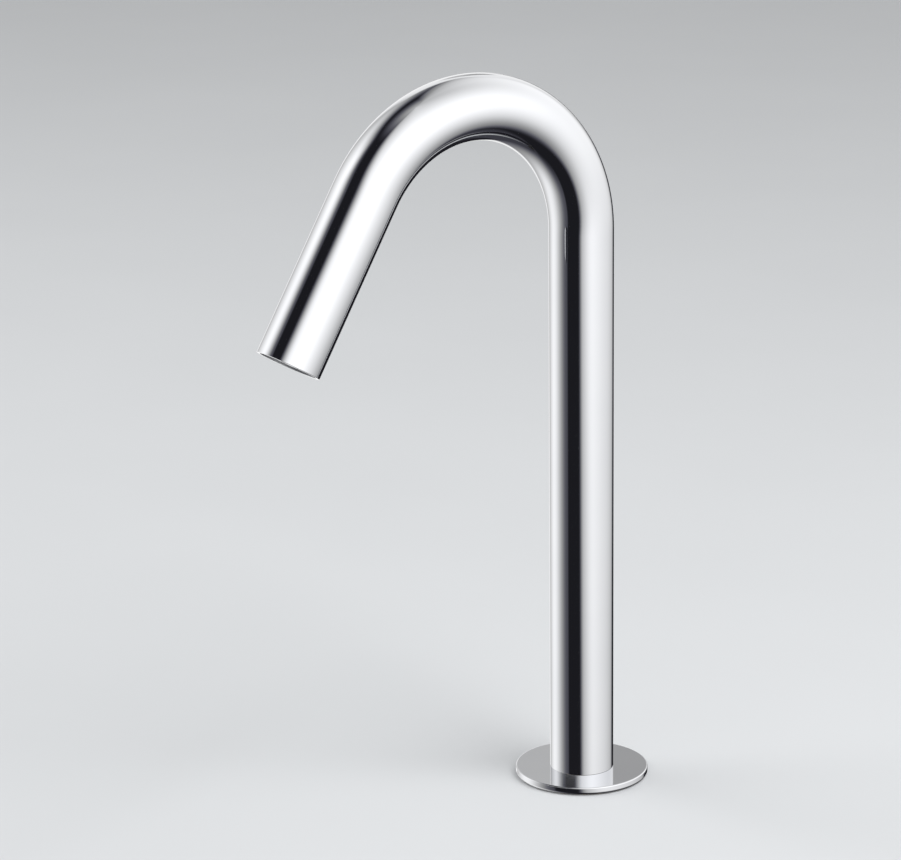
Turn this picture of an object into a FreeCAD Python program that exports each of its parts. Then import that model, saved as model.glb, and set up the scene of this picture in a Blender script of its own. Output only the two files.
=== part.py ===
import FreeCAD, Part
import math
import os
import re

import Sketcher

# Sensor tap: a gooseneck tube on a round base flange, held through the deck by one threaded
# shank and its nut. The outlet holds an aerator and, beside it, an infrared sensor. Water and
# the sensor's lead run up inside the tube.
#
# Frame, in millimetres: Z is up, the origin is on the column's axis in the plane of the deck
# that the tap stands on, and the spout reaches towards -Y. Pieces in the outlet are drawn about
# the outlet's own axis, with their Z pointing back up the spout, and are tilted with it.

V = FreeCAD.Vector
FULL_TURN = 360
HEX_SIDE_COUNT = 6
CORD_SIDE_COUNT = 8
SAME = 1e-6
doc = FreeCAD.newDocument("SensorTap")

SIZES = {
    # gooseneck tube
    "tube_diameter": (28, "outside diameter of column, bend and spout"),
    "tube_wall": (1.5, "wall of the tube"),
    "tap_height": (322, "deck to the top of the bend"),
    "bend_radius": (60, "centreline radius of the bend"),
    "spout_tilt": (31, "lean of the spout from upright, degrees"),
    "spout_length": (77.5, "straight run from the bend to the outlet"),
    "outlet_edge": (0.4, "rounding of the tube's outer edge at the outlet"),
    # clearances
    "fit_gap": (0.05, "radial clearance of pieces that fit in each other"),
    "nozzle_gap": (0.1, "radial clearance of the outlet block in the tube"),
    # base flange and its seals
    "flange_diameter": (58.5, "outside diameter"),
    "flange_thickness": (3.3, "metal thickness"),
    "flange_top_round": (0.5, "rounding of the upper edge"),
    "flange_low_round": (1.2, "rounding of the lower edge"),
    "deck_gap": (0.2, "gap left under the flange by the gasket"),
    "gasket_thickness": (1.9, "rubber gasket, squeezed"),
    "gasket_outer": (54, "outside diameter of the gasket"),
    "gasket_bore": (31, "hole of the gasket"),
    "foot_ring_cord": (0.9, "cord of the ring under the tube's foot"),
    # bush and shank
    "bush_height": (22, "top of the foot bush above the deck"),
    "bush_stop": (6, "unthreaded stop at the top of the bush"),
    "shank_diameter": (22, "thread diameter of the shank"),
    "shank_bore": (17, "bore of the shank"),
    "shank_depth": (55, "reach of the shank under the deck"),
    "shank_bevel": (1, "bevel of the shank's ends"),
    # clamping set
    "deck_thickness": (20, "deck that the clamping set is shown closed on"),
    "washer_diameter": (50, "outside diameter of both clamping washers"),
    "rubber_thickness": (3, "rubber washer"),
    "rubber_gap": (0.5, "radial play of the rubber washer on the shank"),
    "steel_thickness": (2, "steel washer"),
    "steel_gap": (0.3, "radial play of the steel washer on the shank"),
    "nut_flats": (30, "hexagon across flats"),
    "nut_height": (8, "height of the nut"),
    "nut_bevel": (1.2, "height of the bevel on the hexagon's corners"),
    "nut_bevel_slope": (30, "slope of that bevel, degrees"),
    # water side
    "hose_diameter": (8, "outside diameter of the inner hose"),
    "hose_wall": (1, "wall of the inner hose"),
    "hose_offset": (3.8, "hose axis beside the tube's axis"),
    "nipple_bore": (4, "water way through both hose nipples"),
    "nipple_length": (10, "length of both hose nipples"),
    "ferrule_wall": (0.4, "wall of the crimped ferrules"),
    "ferrule_length": (8, "length of the crimped ferrules"),
    "ferrule_step": (1.2, "bare hose between a ferrule and the nipple's root"),
    # inlet block
    "block_diameter": (20, "head of the inlet block"),
    "block_flats": (17, "spanner flats of the head"),
    "block_height": (10, "height of the head under the shank"),
    "plug_height": (8, "plug of the block in the shank's bore"),
    "port_diameter": (9, "wall of the threaded water inlet"),
    "port_depth": (8, "depth of the water inlet"),
    "port_offset": (4.6, "water inlet beside the axis"),
    "inlet_ring_cord": (0.9, "cord of the plug's sealing ring"),
    "inlet_ring_height": (3, "sealing ring above the head"),
    # sensor lead
    "cable_diameter": (3.2, "sensor lead"),
    "cable_offset": (2.9, "lead axis beside the tube's axis"),
    "cable_bend": (20, "radius of the lead's two bends behind the sensor"),
    "cable_straight": (20, "straight lead behind the sensor"),
    "socket_diameter": (5.7, "round lead socket in the inlet block"),
    "socket_length": (8.5, "length of the lead socket"),
    "socket_offset": (3.6, "lead socket beside the axis"),
    "socket_mouth": (4.2, "open mouth of the lead socket"),
    "socket_floor": (2.5, "closed end of the lead socket"),
    "pin_count": (3, "contacts in the socket"),
    "pin_diameter": (0.7, "contact pin"),
    "pin_circle": (2.2, "circle that the three pins stand on"),
    "pin_reach": (4.5, "pin inside the mouth"),
    "pin_root": (1.5, "pin held in the closed end"),
    # outlet block
    "nozzle_recess": (0.8, "outlet block's face behind the tube's end"),
    "nozzle_length": (25, "length of the outlet block"),
    "nozzle_bevel": (0.5, "bevel of the block's back edge"),
    "screw_diameter": (2.8, "grub screw that holds the block"),
    "screw_length": (3.2, "length of the grub screw"),
    "screw_sink": (0.3, "grub screw's end below the tube's skin"),
    "screw_height": (21.2, "grub screw above the outlet"),
    "screw_socket": (1.3, "hexagon socket across flats"),
    "screw_socket_depth": (1.2, "depth of the hexagon socket"),
    # aerator
    "aerator_offset": (3.2, "aerator axis towards the column"),
    "aerator_diameter": (16.5, "thread diameter of the aerator sleeve"),
    "aerator_height": (8.7, "height of the sleeve"),
    "aerator_wall": (0.9, "wall of the sleeve"),
    "lip_height": (0.8, "inward lip at the sleeve's mouth"),
    "lip_width": (0.6, "width of that lip"),
    "notch_width": (1.6, "key notch in the lip"),
    "notch_depth": (0.5, "depth of a key notch"),
    "notch_count": (8, "key notches"),
    "lattice_thickness": (2.2, "honeycomb that the water leaves through"),
    "insert_height": (3.6, "height of the honeycomb's rim"),
    "insert_rim": (0.8, "width of that rim"),
    "cell_flats": (1.5, "honeycomb cell across flats"),
    "cell_pitch": (2, "cell to cell of the honeycomb"),
    "cell_rings": (3, "rings of cells round the middle one"),
    "jet_thickness": (1.2, "jet plate"),
    "jet_diameter": (0.9, "hole in the jet plate"),
    "jet_circle": (9.4, "circle of the jet holes"),
    "jet_count": (12, "jet holes"),
    "jet_post": (3.4, "diameter of the jet plate's post"),
    "jet_post_height": (2, "height of that post"),
    "regulator_cord": (1.5, "elastic ring round the post"),
    "screen_wall": (0.4, "inlet screen"),
    "screen_rim": (0.8, "height and width of the screen's rim"),
    "screen_dome": (3.4, "rise of the screen's cone"),
    "screen_tip": (3, "flat top radius of the cone"),
    "seal_thickness": (1.5, "flat seal above the sleeve"),
    "seal_width": (1.6, "ring width of that seal"),
    "chamber_diameter": (13, "water chamber above the aerator"),
    "chamber_height": (6, "height of that chamber"),
    # sensor
    "sensor_offset": (8.7, "sensor axis away from the column"),
    "slot_length": (10, "sensor slot, long way"),
    "slot_width": (4.2, "sensor slot, short way"),
    "window_ledge": (0.5, "ledge that the window sits on"),
    "window_thickness": (1.2, "dark window"),
    "gasket_bead": (0.4, "thin gasket behind the window"),
    "carrier_length": (12, "black carrier of the two diodes"),
    "diode_diameter": (3, "emitter and receiver"),
    "diode_setback": (1, "diode's dome behind the carrier's front"),
    "diode_body": (5.3, "length of a diode with its dome"),
    "leg_diameter": (0.5, "diode leg"),
    "leg_pitch": (1.27, "between a diode's two legs"),
    "board_thickness": (1.2, "circuit board"),
    "potting_cover": (2.4, "potting between the board and the lead's end"),
    "boot_length": (8, "tapered boot on the lead"),
    "boot_wall": (1, "boot's wall at its root"),
    "boot_tip_wall": (0.4, "boot's wall at its tip"),
}

sheet = doc.addObject("Spreadsheet::Sheet", "Sizes")
for row, (alias, (number, note)) in enumerate(SIZES.items(), 1):
    sheet.set(f"A{row}", alias)
    sheet.set(f"B{row}", str(number))
    sheet.set(f"C{row}", note)
    sheet.setAlias(f"B{row}", alias)
doc.recompute()

# Sizes that follow from the sheet, as formulas of its cells.
TUBE_RADIUS = "tube_diameter / 2"
BORE_RADIUS = "(tube_diameter / 2 - tube_wall)"
COLUMN_TOP = "(tap_height - bend_radius - tube_diameter / 2)"
FLANGE_TOP = "(deck_gap + flange_thickness)"
BUSH_RADIUS = f"({BORE_RADIUS} - fit_gap)"
SHANK_TOP = "(bush_height - bush_stop)"
SHANK_BORE_RADIUS = "shank_bore / 2"
PLUG_TOP = "(plug_height - shank_depth)"
PLUG_RADIUS = f"({SHANK_BORE_RADIUS} - fit_gap)"
HEAD_BOTTOM = "(-shank_depth - block_height)"
HOSE_BORE_RADIUS = "(hose_diameter / 2 - hose_wall)"
NIPPLE_RADIUS = f"({HOSE_BORE_RADIUS} - fit_gap)"
RUBBER_BOTTOM = "(-deck_thickness - rubber_thickness)"
STEEL_BOTTOM = f"({RUBBER_BOTTOM} - steel_thickness)"
NUT_TOP = f"({STEEL_BOTTOM} - fit_gap)"
CABLE_RADIUS = "cable_diameter / 2"
SOCKET_TOP = f"({HEAD_BOTTOM} + socket_length)"
TIP_Y = "(-bend_radius * (1 + cos(spout_tilt)) - spout_length * sin(spout_tilt))"
TIP_Z = f"({COLUMN_TOP} + bend_radius * sin(spout_tilt) - spout_length * cos(spout_tilt))"

NOZZLE_RADIUS = f"({BORE_RADIUS} - nozzle_gap)"
NOZZLE_BACK = "(nozzle_recess + nozzle_length)"
SLEEVE_RADIUS = "aerator_diameter / 2"
SLEEVE_BORE = "(aerator_diameter / 2 - aerator_wall)"
SLEEVE_TOP = "(nozzle_recess + aerator_height)"
CARTRIDGE_RADIUS = f"({SLEEVE_BORE} - fit_gap)"
INSERT_BOTTOM = "(nozzle_recess + lip_height)"
LATTICE_TOP = f"({INSERT_BOTTOM} + lattice_thickness)"
JET_BOTTOM = f"({INSERT_BOTTOM} + insert_height)"
JET_TOP = f"({JET_BOTTOM} + jet_thickness)"
SEAL_TOP = f"({SLEEVE_TOP} + seal_thickness)"
CHAMBER_TOP = f"({SEAL_TOP} + chamber_height)"
SLOT_HALF = "((slot_length - slot_width) / 2)"
WINDOW_TOP = "(nozzle_recess + window_thickness)"
BEAD_TOP = f"({WINDOW_TOP} + gasket_bead)"
WINDOW_ROUND = "(slot_width / 2 + window_ledge)"
BOARD_BOTTOM = f"({BEAD_TOP} + carrier_length)"
BOARD_TOP = f"({BOARD_BOTTOM} + board_thickness)"
CABLE_END = f"({BOARD_TOP} + potting_cover)"
DIODE_FRONT = f"({BEAD_TOP} + diode_setback)"

WORD = re.compile(r"[a-z_]+")


def bound(formula):
    """The formula with every alias written as a cell of the sheet."""
    return WORD.sub(lambda m: "Sizes." + m.group() if m.group() in SIZES else m.group(), str(formula))


def value(formula):
    """The formula's number at the present sizes."""
    return float(sheet.evalExpression(bound(formula)))


def bind(thing, prop, formula):
    thing.setExpression(prop, bound(formula))


def new_body(label):
    body = doc.addObject("PartDesign::Body", label)
    body.Label = label
    return body


def new_sketch(body, name, role, height="0"):
    """A sketch on one of the body's origin planes, moved along the plane's normal."""
    sketch = body.newObject("Sketcher::SketchObject", f"{body.Name}_{name}")
    plane = next(f for f in body.Origin.OriginFeatures if f.Role == role)
    sketch.AttachmentSupport = [(plane, "")]
    sketch.MapMode = "FlatFace"
    sketch.AttachmentOffset = FreeCAD.Placement(V(0, 0, value(height)), FreeCAD.Rotation())
    bind(sketch, "AttachmentOffset.Base.z", height)
    return sketch


def constrain(sketch, formula, *constraint):
    """Adds a measured constraint and binds it to its formula."""
    kind, *geometry = constraint
    number = value(formula)
    if kind == "Angle":
        number = math.radians(number)
    index = sketch.addConstraint(Sketcher.Constraint(kind, *geometry, number))
    bind(sketch, f"Constraints[{index}]", formula)


def pin_point(sketch, line, end, x, y):
    constrain(sketch, x, "DistanceX", -1, 1, line, end)
    constrain(sketch, y, "DistanceY", -1, 1, line, end)


def polygon(sketch, corners):
    """A closed outline through corners given as pairs of formulas."""
    spots = [V(value(x), value(y), 0) for x, y in corners]
    first = sketch.GeometryCount
    count = len(spots)
    for i in range(count):
        sketch.addGeometry(Part.LineSegment(spots[i], spots[(i + 1) % count]), False)
    for i, (x, y) in enumerate(corners):
        follower = first + (i + 1) % count
        sketch.addConstraint(Sketcher.Constraint("Coincident", first + i, 2, follower, 1))
        pin_point(sketch, first + i, 1, x, y)


def circle(sketch, radius, x="0", y="0"):
    centre = V(value(x), value(y), 0)
    index = sketch.addGeometry(Part.Circle(centre, V(0, 0, 1), value(radius)), False)
    constrain(sketch, radius, "Radius", index)
    pin_point(sketch, index, 3, x, y)


def pill(sketch, half, radius, y="0"):
    """A slot outline: two half circles at +half and -half along X, joined by two lines."""
    h, r, c = value(half), value(radius), value(y)
    right = Part.Circle(V(h, c, 0), V(0, 0, 1), r)
    left = Part.Circle(V(-h, c, 0), V(0, 0, 1), r)
    a = sketch.addGeometry(Part.ArcOfCircle(right, -math.pi / 2, math.pi / 2), False)
    b = sketch.addGeometry(Part.LineSegment(V(h, c + r, 0), V(-h, c + r, 0)), False)
    d = sketch.addGeometry(Part.ArcOfCircle(left, math.pi / 2, 3 * math.pi / 2), False)
    e = sketch.addGeometry(Part.LineSegment(V(-h, c - r, 0), V(h, c - r, 0)), False)
    for one, other in ((a, b), (b, d), (d, e), (e, a)):
        sketch.addConstraint(Sketcher.Constraint("Tangent", one, 2, other, 1))
    constrain(sketch, radius, "Radius", a)
    pin_point(sketch, a, 3, half, y)
    pin_point(sketch, d, 3, f"-{half}", y)


def regular(sides, flats, x="0", y="0"):
    """Corners of a regular outline, measured across its flats, with one flat facing along X."""
    reach = f"({flats}) / (2 * cos({FULL_TURN / 2 / sides}))"
    corners = []
    for corner in range(sides):
        angle = (corner + 0.5) * FULL_TURN / sides
        corners.append((f"({x}) + {reach} * cos({angle})", f"({y}) + {reach} * sin({angle})"))
    return corners


def pad(body, sketch, length):
    feature = body.newObject("PartDesign::Pad", f"{sketch.Name}_pad")
    feature.Profile = sketch
    bind(feature, "Length", length)
    doc.recompute()


def pocket(body, sketch, depth):
    """Cuts along +Z from the sketch, and makes sure that it does cut."""
    before = body.Shape.Volume
    feature = body.newObject("PartDesign::Pocket", f"{sketch.Name}_pocket")
    feature.Profile = sketch
    feature.Reversed = True
    bind(feature, "Length", depth)
    doc.recompute()
    assert body.Shape.Volume < before, f"{feature.Name} cuts nothing"
    return feature


def polar(body, feature, count):
    pattern = body.newObject("PartDesign::PolarPattern", f"{feature.Name}_ring")
    pattern.Originals = [feature]
    pattern.Axis = (feature.Profile[0], ["N_Axis"])
    pattern.Angle = FULL_TURN
    bind(pattern, "Occurrences", count)
    body.Tip = pattern
    doc.recompute()


def revolved(label, corners):
    """A body spun about Z from an outline of (radius, height) corners."""
    body = new_body(label)
    sketch = new_sketch(body, "outline", "XZ_Plane")
    polygon(sketch, corners)
    spin = body.newObject("PartDesign::Revolution", f"{label}_spin")
    spin.Profile = sketch
    spin.ReferenceAxis = (sketch, ["V_Axis"])
    spin.Angle = FULL_TURN
    doc.recompute()
    return body


def washer(label, inner, outer, bottom, top):
    return revolved(label, [(inner, bottom), (outer, bottom), (outer, top), (inner, top)])


def edges_at(body, radius, height, direction=V(0, 0, 1)):
    """Names of the round edges of this radius whose centre is this far along direction."""
    names = []
    for number, edge in enumerate(body.Shape.Edges, 1):
        if isinstance(edge.Curve, Part.Circle) and abs(edge.Curve.Radius - radius) < SAME:
            if abs(edge.Curve.Center.dot(direction) - height) < SAME:
                names.append(f"Edge{number}")
    return names


def round_over(body, edges, radius):
    """A Fillet on the named edges."""
    base = body.Tip
    feature = body.newObject("PartDesign::Fillet", f"{body.Name}_round")
    feature.Base = (base, edges)
    bind(feature, "Radius", radius)
    doc.recompute()


def ring(label, centre_radius, cord, height):
    """A sealing ring: round cord, pressed to eight sides by its groove."""
    return revolved(label, regular(CORD_SIDE_COUNT, cord, centre_radius, height))


def sleeve(label, inner, wall, length, x, bottom):
    """A short straight tube beside the axis."""
    body = washer(label, inner, f"{inner} + {wall}", bottom, f"{bottom} + {length}")
    bind(body, "Placement.Base.x", x)
    return body


def to_outlet(piece, x="0", y="0"):
    """Carries a piece from the outlet's own frame to the end of the spout."""
    piece.Placement = FreeCAD.Placement(V(0, 0, 0), FreeCAD.Rotation(V(-1, 0, 0), value("spout_tilt")))
    bind(piece, "Placement.Rotation.Angle", "spout_tilt")
    bind(piece, "Placement.Base.x", x)
    bind(piece, "Placement.Base.y", f"{TIP_Y} + ({y}) * cos(spout_tilt)")
    bind(piece, "Placement.Base.z", f"{TIP_Z} - ({y}) * sin(spout_tilt)")
    return piece


def gooseneck(sketch, start, run):
    """Column, bend and spout as one line, in the sketch's plane: returns the spout's line."""
    lean = math.radians(value("spout_tilt"))
    top, bend, length = value(COLUMN_TOP), value("bend_radius"), value(run)
    bend_end = V(-bend * (1 + math.cos(lean)), top + bend * math.sin(lean), 0)
    along = V(-math.sin(lean), -math.cos(lean), 0)
    column = sketch.addGeometry(Part.LineSegment(V(0, value(start), 0), V(0, top, 0)), False)
    round_top = Part.Circle(V(-bend, top, 0), V(0, 0, 1), bend)
    arc = sketch.addGeometry(Part.ArcOfCircle(round_top, 0, math.pi - lean), False)
    spout = sketch.addGeometry(Part.LineSegment(bend_end, bend_end + along * length), False)
    sketch.addConstraint(Sketcher.Constraint("PointOnObject", column, 1, -2))
    sketch.addConstraint(Sketcher.Constraint("Vertical", column))
    sketch.addConstraint(Sketcher.Constraint("Tangent", column, 2, arc, 1))
    sketch.addConstraint(Sketcher.Constraint("Tangent", arc, 2, spout, 1))
    constrain(sketch, start, "DistanceY", -1, 1, column, 1)
    constrain(sketch, COLUMN_TOP, "DistanceY", -1, 1, column, 2)
    constrain(sketch, "bend_radius", "Radius", arc)
    constrain(sketch, "-spout_tilt", "Angle", column, 2, spout, 1)
    return spout


def swept(body, path, start, radii):
    """A round section, with its bore where two radii are given, swept along the path."""
    section = new_sketch(body, "section", "XY_Plane", start)
    for radius in radii:
        circle(section, radius)
    doc.recompute()
    pipe = body.newObject("PartDesign::AdditivePipe", f"{body.Name}_pipe")
    pipe.Profile = (section, [""])
    pipe.Spine = (path, [f"Edge{i + 1}" for i in range(len(path.Shape.Edges))])
    doc.recompute()


def make_tube():
    body = new_body("spout_tube")
    path = new_sketch(body, "path", "YZ_Plane")
    spout = gooseneck(path, FLANGE_TOP, "spout_length")
    constrain(path, "spout_length", "Distance", spout)
    swept(body, path, FLANGE_TOP, (TUBE_RADIUS, BORE_RADIUS))
    tip = V(0, value(TIP_Y), value(TIP_Z))
    lean = math.radians(value("spout_tilt"))
    back = V(0, math.sin(lean), math.cos(lean))
    mouth = edges_at(body, value(TUBE_RADIUS), tip.dot(back), back)
    round_over(body, mouth, "outlet_edge")
    # hole for the grub screw, through the side that faces the column
    hole = body.newObject("PartDesign::SubtractiveCylinder", "screw_hole")
    plane = next(f for f in body.Origin.OriginFeatures if f.Role == "XY_Plane")
    hole.AttachmentSupport = [(plane, "")]
    hole.MapMode = "FlatFace"
    turn = FreeCAD.Rotation(V(-1, 0, 0), 90 + value("spout_tilt"))
    hole.AttachmentOffset = FreeCAD.Placement(V(0, 0, 0), turn)
    bind(hole, "AttachmentOffset.Rotation.Angle", "90 + spout_tilt")
    bind(hole, "AttachmentOffset.Base.y", f"{TIP_Y} + screw_height * sin(spout_tilt)")
    bind(hole, "AttachmentOffset.Base.z", f"{TIP_Z} + screw_height * cos(spout_tilt)")
    bind(hole, "Radius", "screw_diameter / 2 + fit_gap")
    bind(hole, "Height", "tube_diameter")
    doc.recompute()


def make_flange():
    outer = "flange_diameter / 2"
    hole = f"({BUSH_RADIUS} + fit_gap)"
    seat = f"({hole} + foot_ring_cord + fit_gap)"
    seat_floor = f"({FLANGE_TOP} - foot_ring_cord - fit_gap)"
    corners = [
        (hole, "deck_gap"),
        ("gasket_bore / 2 - fit_gap", "deck_gap"),
        ("gasket_bore / 2 - fit_gap", "gasket_thickness"),
        ("gasket_outer / 2 + fit_gap", "gasket_thickness"),
        ("gasket_outer / 2 + fit_gap", "deck_gap"),
        (outer, "deck_gap"),
        (outer, FLANGE_TOP),
        (seat, FLANGE_TOP),
        (seat, seat_floor),
        (hole, seat_floor),
    ]
    body = revolved("base_flange", corners)
    for size, level in (("flange_top_round", FLANGE_TOP), ("flange_low_round", "deck_gap")):
        round_over(body, edges_at(body, value(outer), value(level)), size)
    ring("foot_o_ring", f"{hole} + (foot_ring_cord + fit_gap) / 2", "foot_ring_cord",
         f"{FLANGE_TOP} - (foot_ring_cord + fit_gap) / 2")
    washer("deck_gasket", "gasket_bore / 2", "gasket_outer / 2", "0", "gasket_thickness")


def make_bush_and_shank():
    outer = "shank_diameter / 2"
    bevelled = f"{outer} - shank_bevel"
    thread_bore = f"({outer} + fit_gap)"
    revolved("tube_foot_bush", [
        (thread_bore, "deck_gap"),
        (BUSH_RADIUS, "deck_gap"),
        (BUSH_RADIUS, "bush_height"),
        (SHANK_BORE_RADIUS, "bush_height"),
        (SHANK_BORE_RADIUS, SHANK_TOP),
        (thread_bore, SHANK_TOP),
    ])
    revolved("threaded_shank", [
        (SHANK_BORE_RADIUS, "-shank_depth"),
        (bevelled, "-shank_depth"),
        (outer, "shank_bevel - shank_depth"),
        (outer, f"{SHANK_TOP} - shank_bevel"),
        (bevelled, SHANK_TOP),
        (SHANK_BORE_RADIUS, SHANK_TOP),
    ])


def make_clamping_set():
    shank = "shank_diameter / 2"
    rim = "washer_diameter / 2"
    washer("clamp_rubber_washer", f"{shank} + rubber_gap", rim, RUBBER_BOTTOM, "-deck_thickness")
    washer("clamp_steel_washer", f"{shank} + steel_gap", rim, STEEL_BOTTOM, RUBBER_BOTTOM)
    nut = new_body("mounting_nut")
    bottom = f"({NUT_TOP} - nut_height)"
    flats = new_sketch(nut, "hexagon", "XY_Plane", bottom)
    polygon(flats, regular(HEX_SIDE_COUNT, "nut_flats"))
    circle(flats, f"{shank} + fit_gap")
    pad(nut, flats, "nut_height")
    # the corners are turned off at both faces, so the face left is a circle across the flats
    face = "nut_flats / 2"
    wide = f"({face} + nut_bevel / tan(nut_bevel_slope))"
    bevels = new_sketch(nut, "bevels", "XZ_Plane")
    for level, step in ((NUT_TOP, "-"), (bottom, "+")):
        polygon(bevels, [(face, level), (wide, level), (wide, f"{level} {step} nut_bevel")])
    turned = nut.newObject("PartDesign::Groove", "nut_corners")
    turned.Profile = bevels
    turned.ReferenceAxis = (bevels, ["V_Axis"])
    turned.Angle = FULL_TURN
    doc.recompute()


def make_inlet():
    head = "block_diameter / 2"
    groove = f"({PLUG_RADIUS} - inlet_ring_cord)"
    ring_middle = "(inlet_ring_height - shank_depth)"
    ring_half = "(inlet_ring_cord / 2 + fit_gap)"
    block = revolved("inlet_block", [
        ("0", HEAD_BOTTOM),
        (head, HEAD_BOTTOM),
        (head, "-shank_depth"),
        (PLUG_RADIUS, "-shank_depth"),
        (PLUG_RADIUS, f"{ring_middle} - {ring_half}"),
        (groove, f"{ring_middle} - {ring_half}"),
        (groove, f"{ring_middle} + {ring_half}"),
        (PLUG_RADIUS, f"{ring_middle} + {ring_half}"),
        (PLUG_RADIUS, PLUG_TOP),
        ("0", PLUG_TOP),
    ])
    nipple = new_sketch(block, "nipple", "XY_Plane", PLUG_TOP)
    circle(nipple, NIPPLE_RADIUS, "-hose_offset")
    pad(block, nipple, "nipple_length")
    flats = new_sketch(block, "flats", "XY_Plane", HEAD_BOTTOM)
    for side in ("", "-"):
        near, far = f"{side}block_flats / 2", f"{side}block_diameter"
        polygon(flats, [(f"-{head}", near), (head, near), (head, far), (f"-{head}", far)])
    pocket(block, flats, "block_height")
    port = new_sketch(block, "port", "XY_Plane", HEAD_BOTTOM)
    circle(port, "port_diameter / 2", "-port_offset")
    pocket(block, port, "port_depth")
    way = new_sketch(block, "water_way", "XY_Plane", HEAD_BOTTOM)
    circle(way, "nipple_bore / 2", "-hose_offset")
    pocket(block, way, "block_height + plug_height + nipple_length")
    seat = new_sketch(block, "socket_seat", "XY_Plane", HEAD_BOTTOM)
    circle(seat, "socket_diameter / 2 + fit_gap", "socket_offset")
    pocket(block, seat, "socket_length")
    lead = new_sketch(block, "lead_way", "XY_Plane", HEAD_BOTTOM)
    circle(lead, f"{CABLE_RADIUS} + fit_gap", "cable_offset")
    pocket(block, lead, "block_height + plug_height")
    ring("inlet_o_ring", f"{groove} + inlet_ring_cord / 2 + fit_gap / 2", "inlet_ring_cord - fit_gap",
         ring_middle)


def make_lead_socket():
    mouth = "socket_mouth / 2"
    rim = "socket_diameter / 2"
    floor = f"({SOCKET_TOP} - socket_floor)"
    socket = revolved("lead_socket", [
        ("0", floor), (mouth, floor), (mouth, HEAD_BOTTOM),
        (rim, HEAD_BOTTOM), (rim, SOCKET_TOP), ("0", SOCKET_TOP),
    ])
    bind(socket, "Placement.Base.x", "socket_offset")
    holes = new_sketch(socket, "pin_hole", "XY_Plane", floor)
    circle(holes, "pin_diameter / 2 + fit_gap", "pin_circle / 2")
    polar(socket, pocket(socket, holes, "pin_root"), "pin_count")
    pins = []
    for number in range(int(value("pin_count"))):
        turn = f"{FULL_TURN * number} / pin_count"
        pin = doc.addObject("Part::Cylinder", f"contact_pin_{number}")
        bind(pin, "Radius", "pin_diameter / 2")
        bind(pin, "Height", "pin_reach + pin_root")
        bind(pin, "Placement.Base.x", f"socket_offset + pin_circle / 2 * cos({turn})")
        bind(pin, "Placement.Base.y", f"pin_circle / 2 * sin({turn})")
        bind(pin, "Placement.Base.z", f"{floor} - pin_reach")
        pins.append(pin)
    group = doc.addObject("Part::Compound", "socket_pins")
    group.Label = "socket_pins"
    group.Links = pins


def make_hose():
    body = new_body("water_hose")
    bind(body, "Placement.Base.x", "-hose_offset")
    path = new_sketch(body, "path", "YZ_Plane")
    run = f"(spout_length - {NOZZLE_BACK})"
    spout = gooseneck(path, PLUG_TOP, run)
    constrain(path, run, "Distance", spout)
    swept(body, path, PLUG_TOP, ("hose_diameter / 2", HOSE_BORE_RADIUS))
    outer = "(hose_diameter / 2 + fit_gap)"
    sleeve("hose_ferrule_lower", outer, "ferrule_wall", "ferrule_length", "-hose_offset",
           f"({PLUG_TOP} + ferrule_step)")
    upper = sleeve("hose_ferrule_upper", outer, "ferrule_wall", "ferrule_length", "0",
                   f"({NOZZLE_BACK} + ferrule_step)")
    to_outlet(upper, "-hose_offset")


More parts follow.
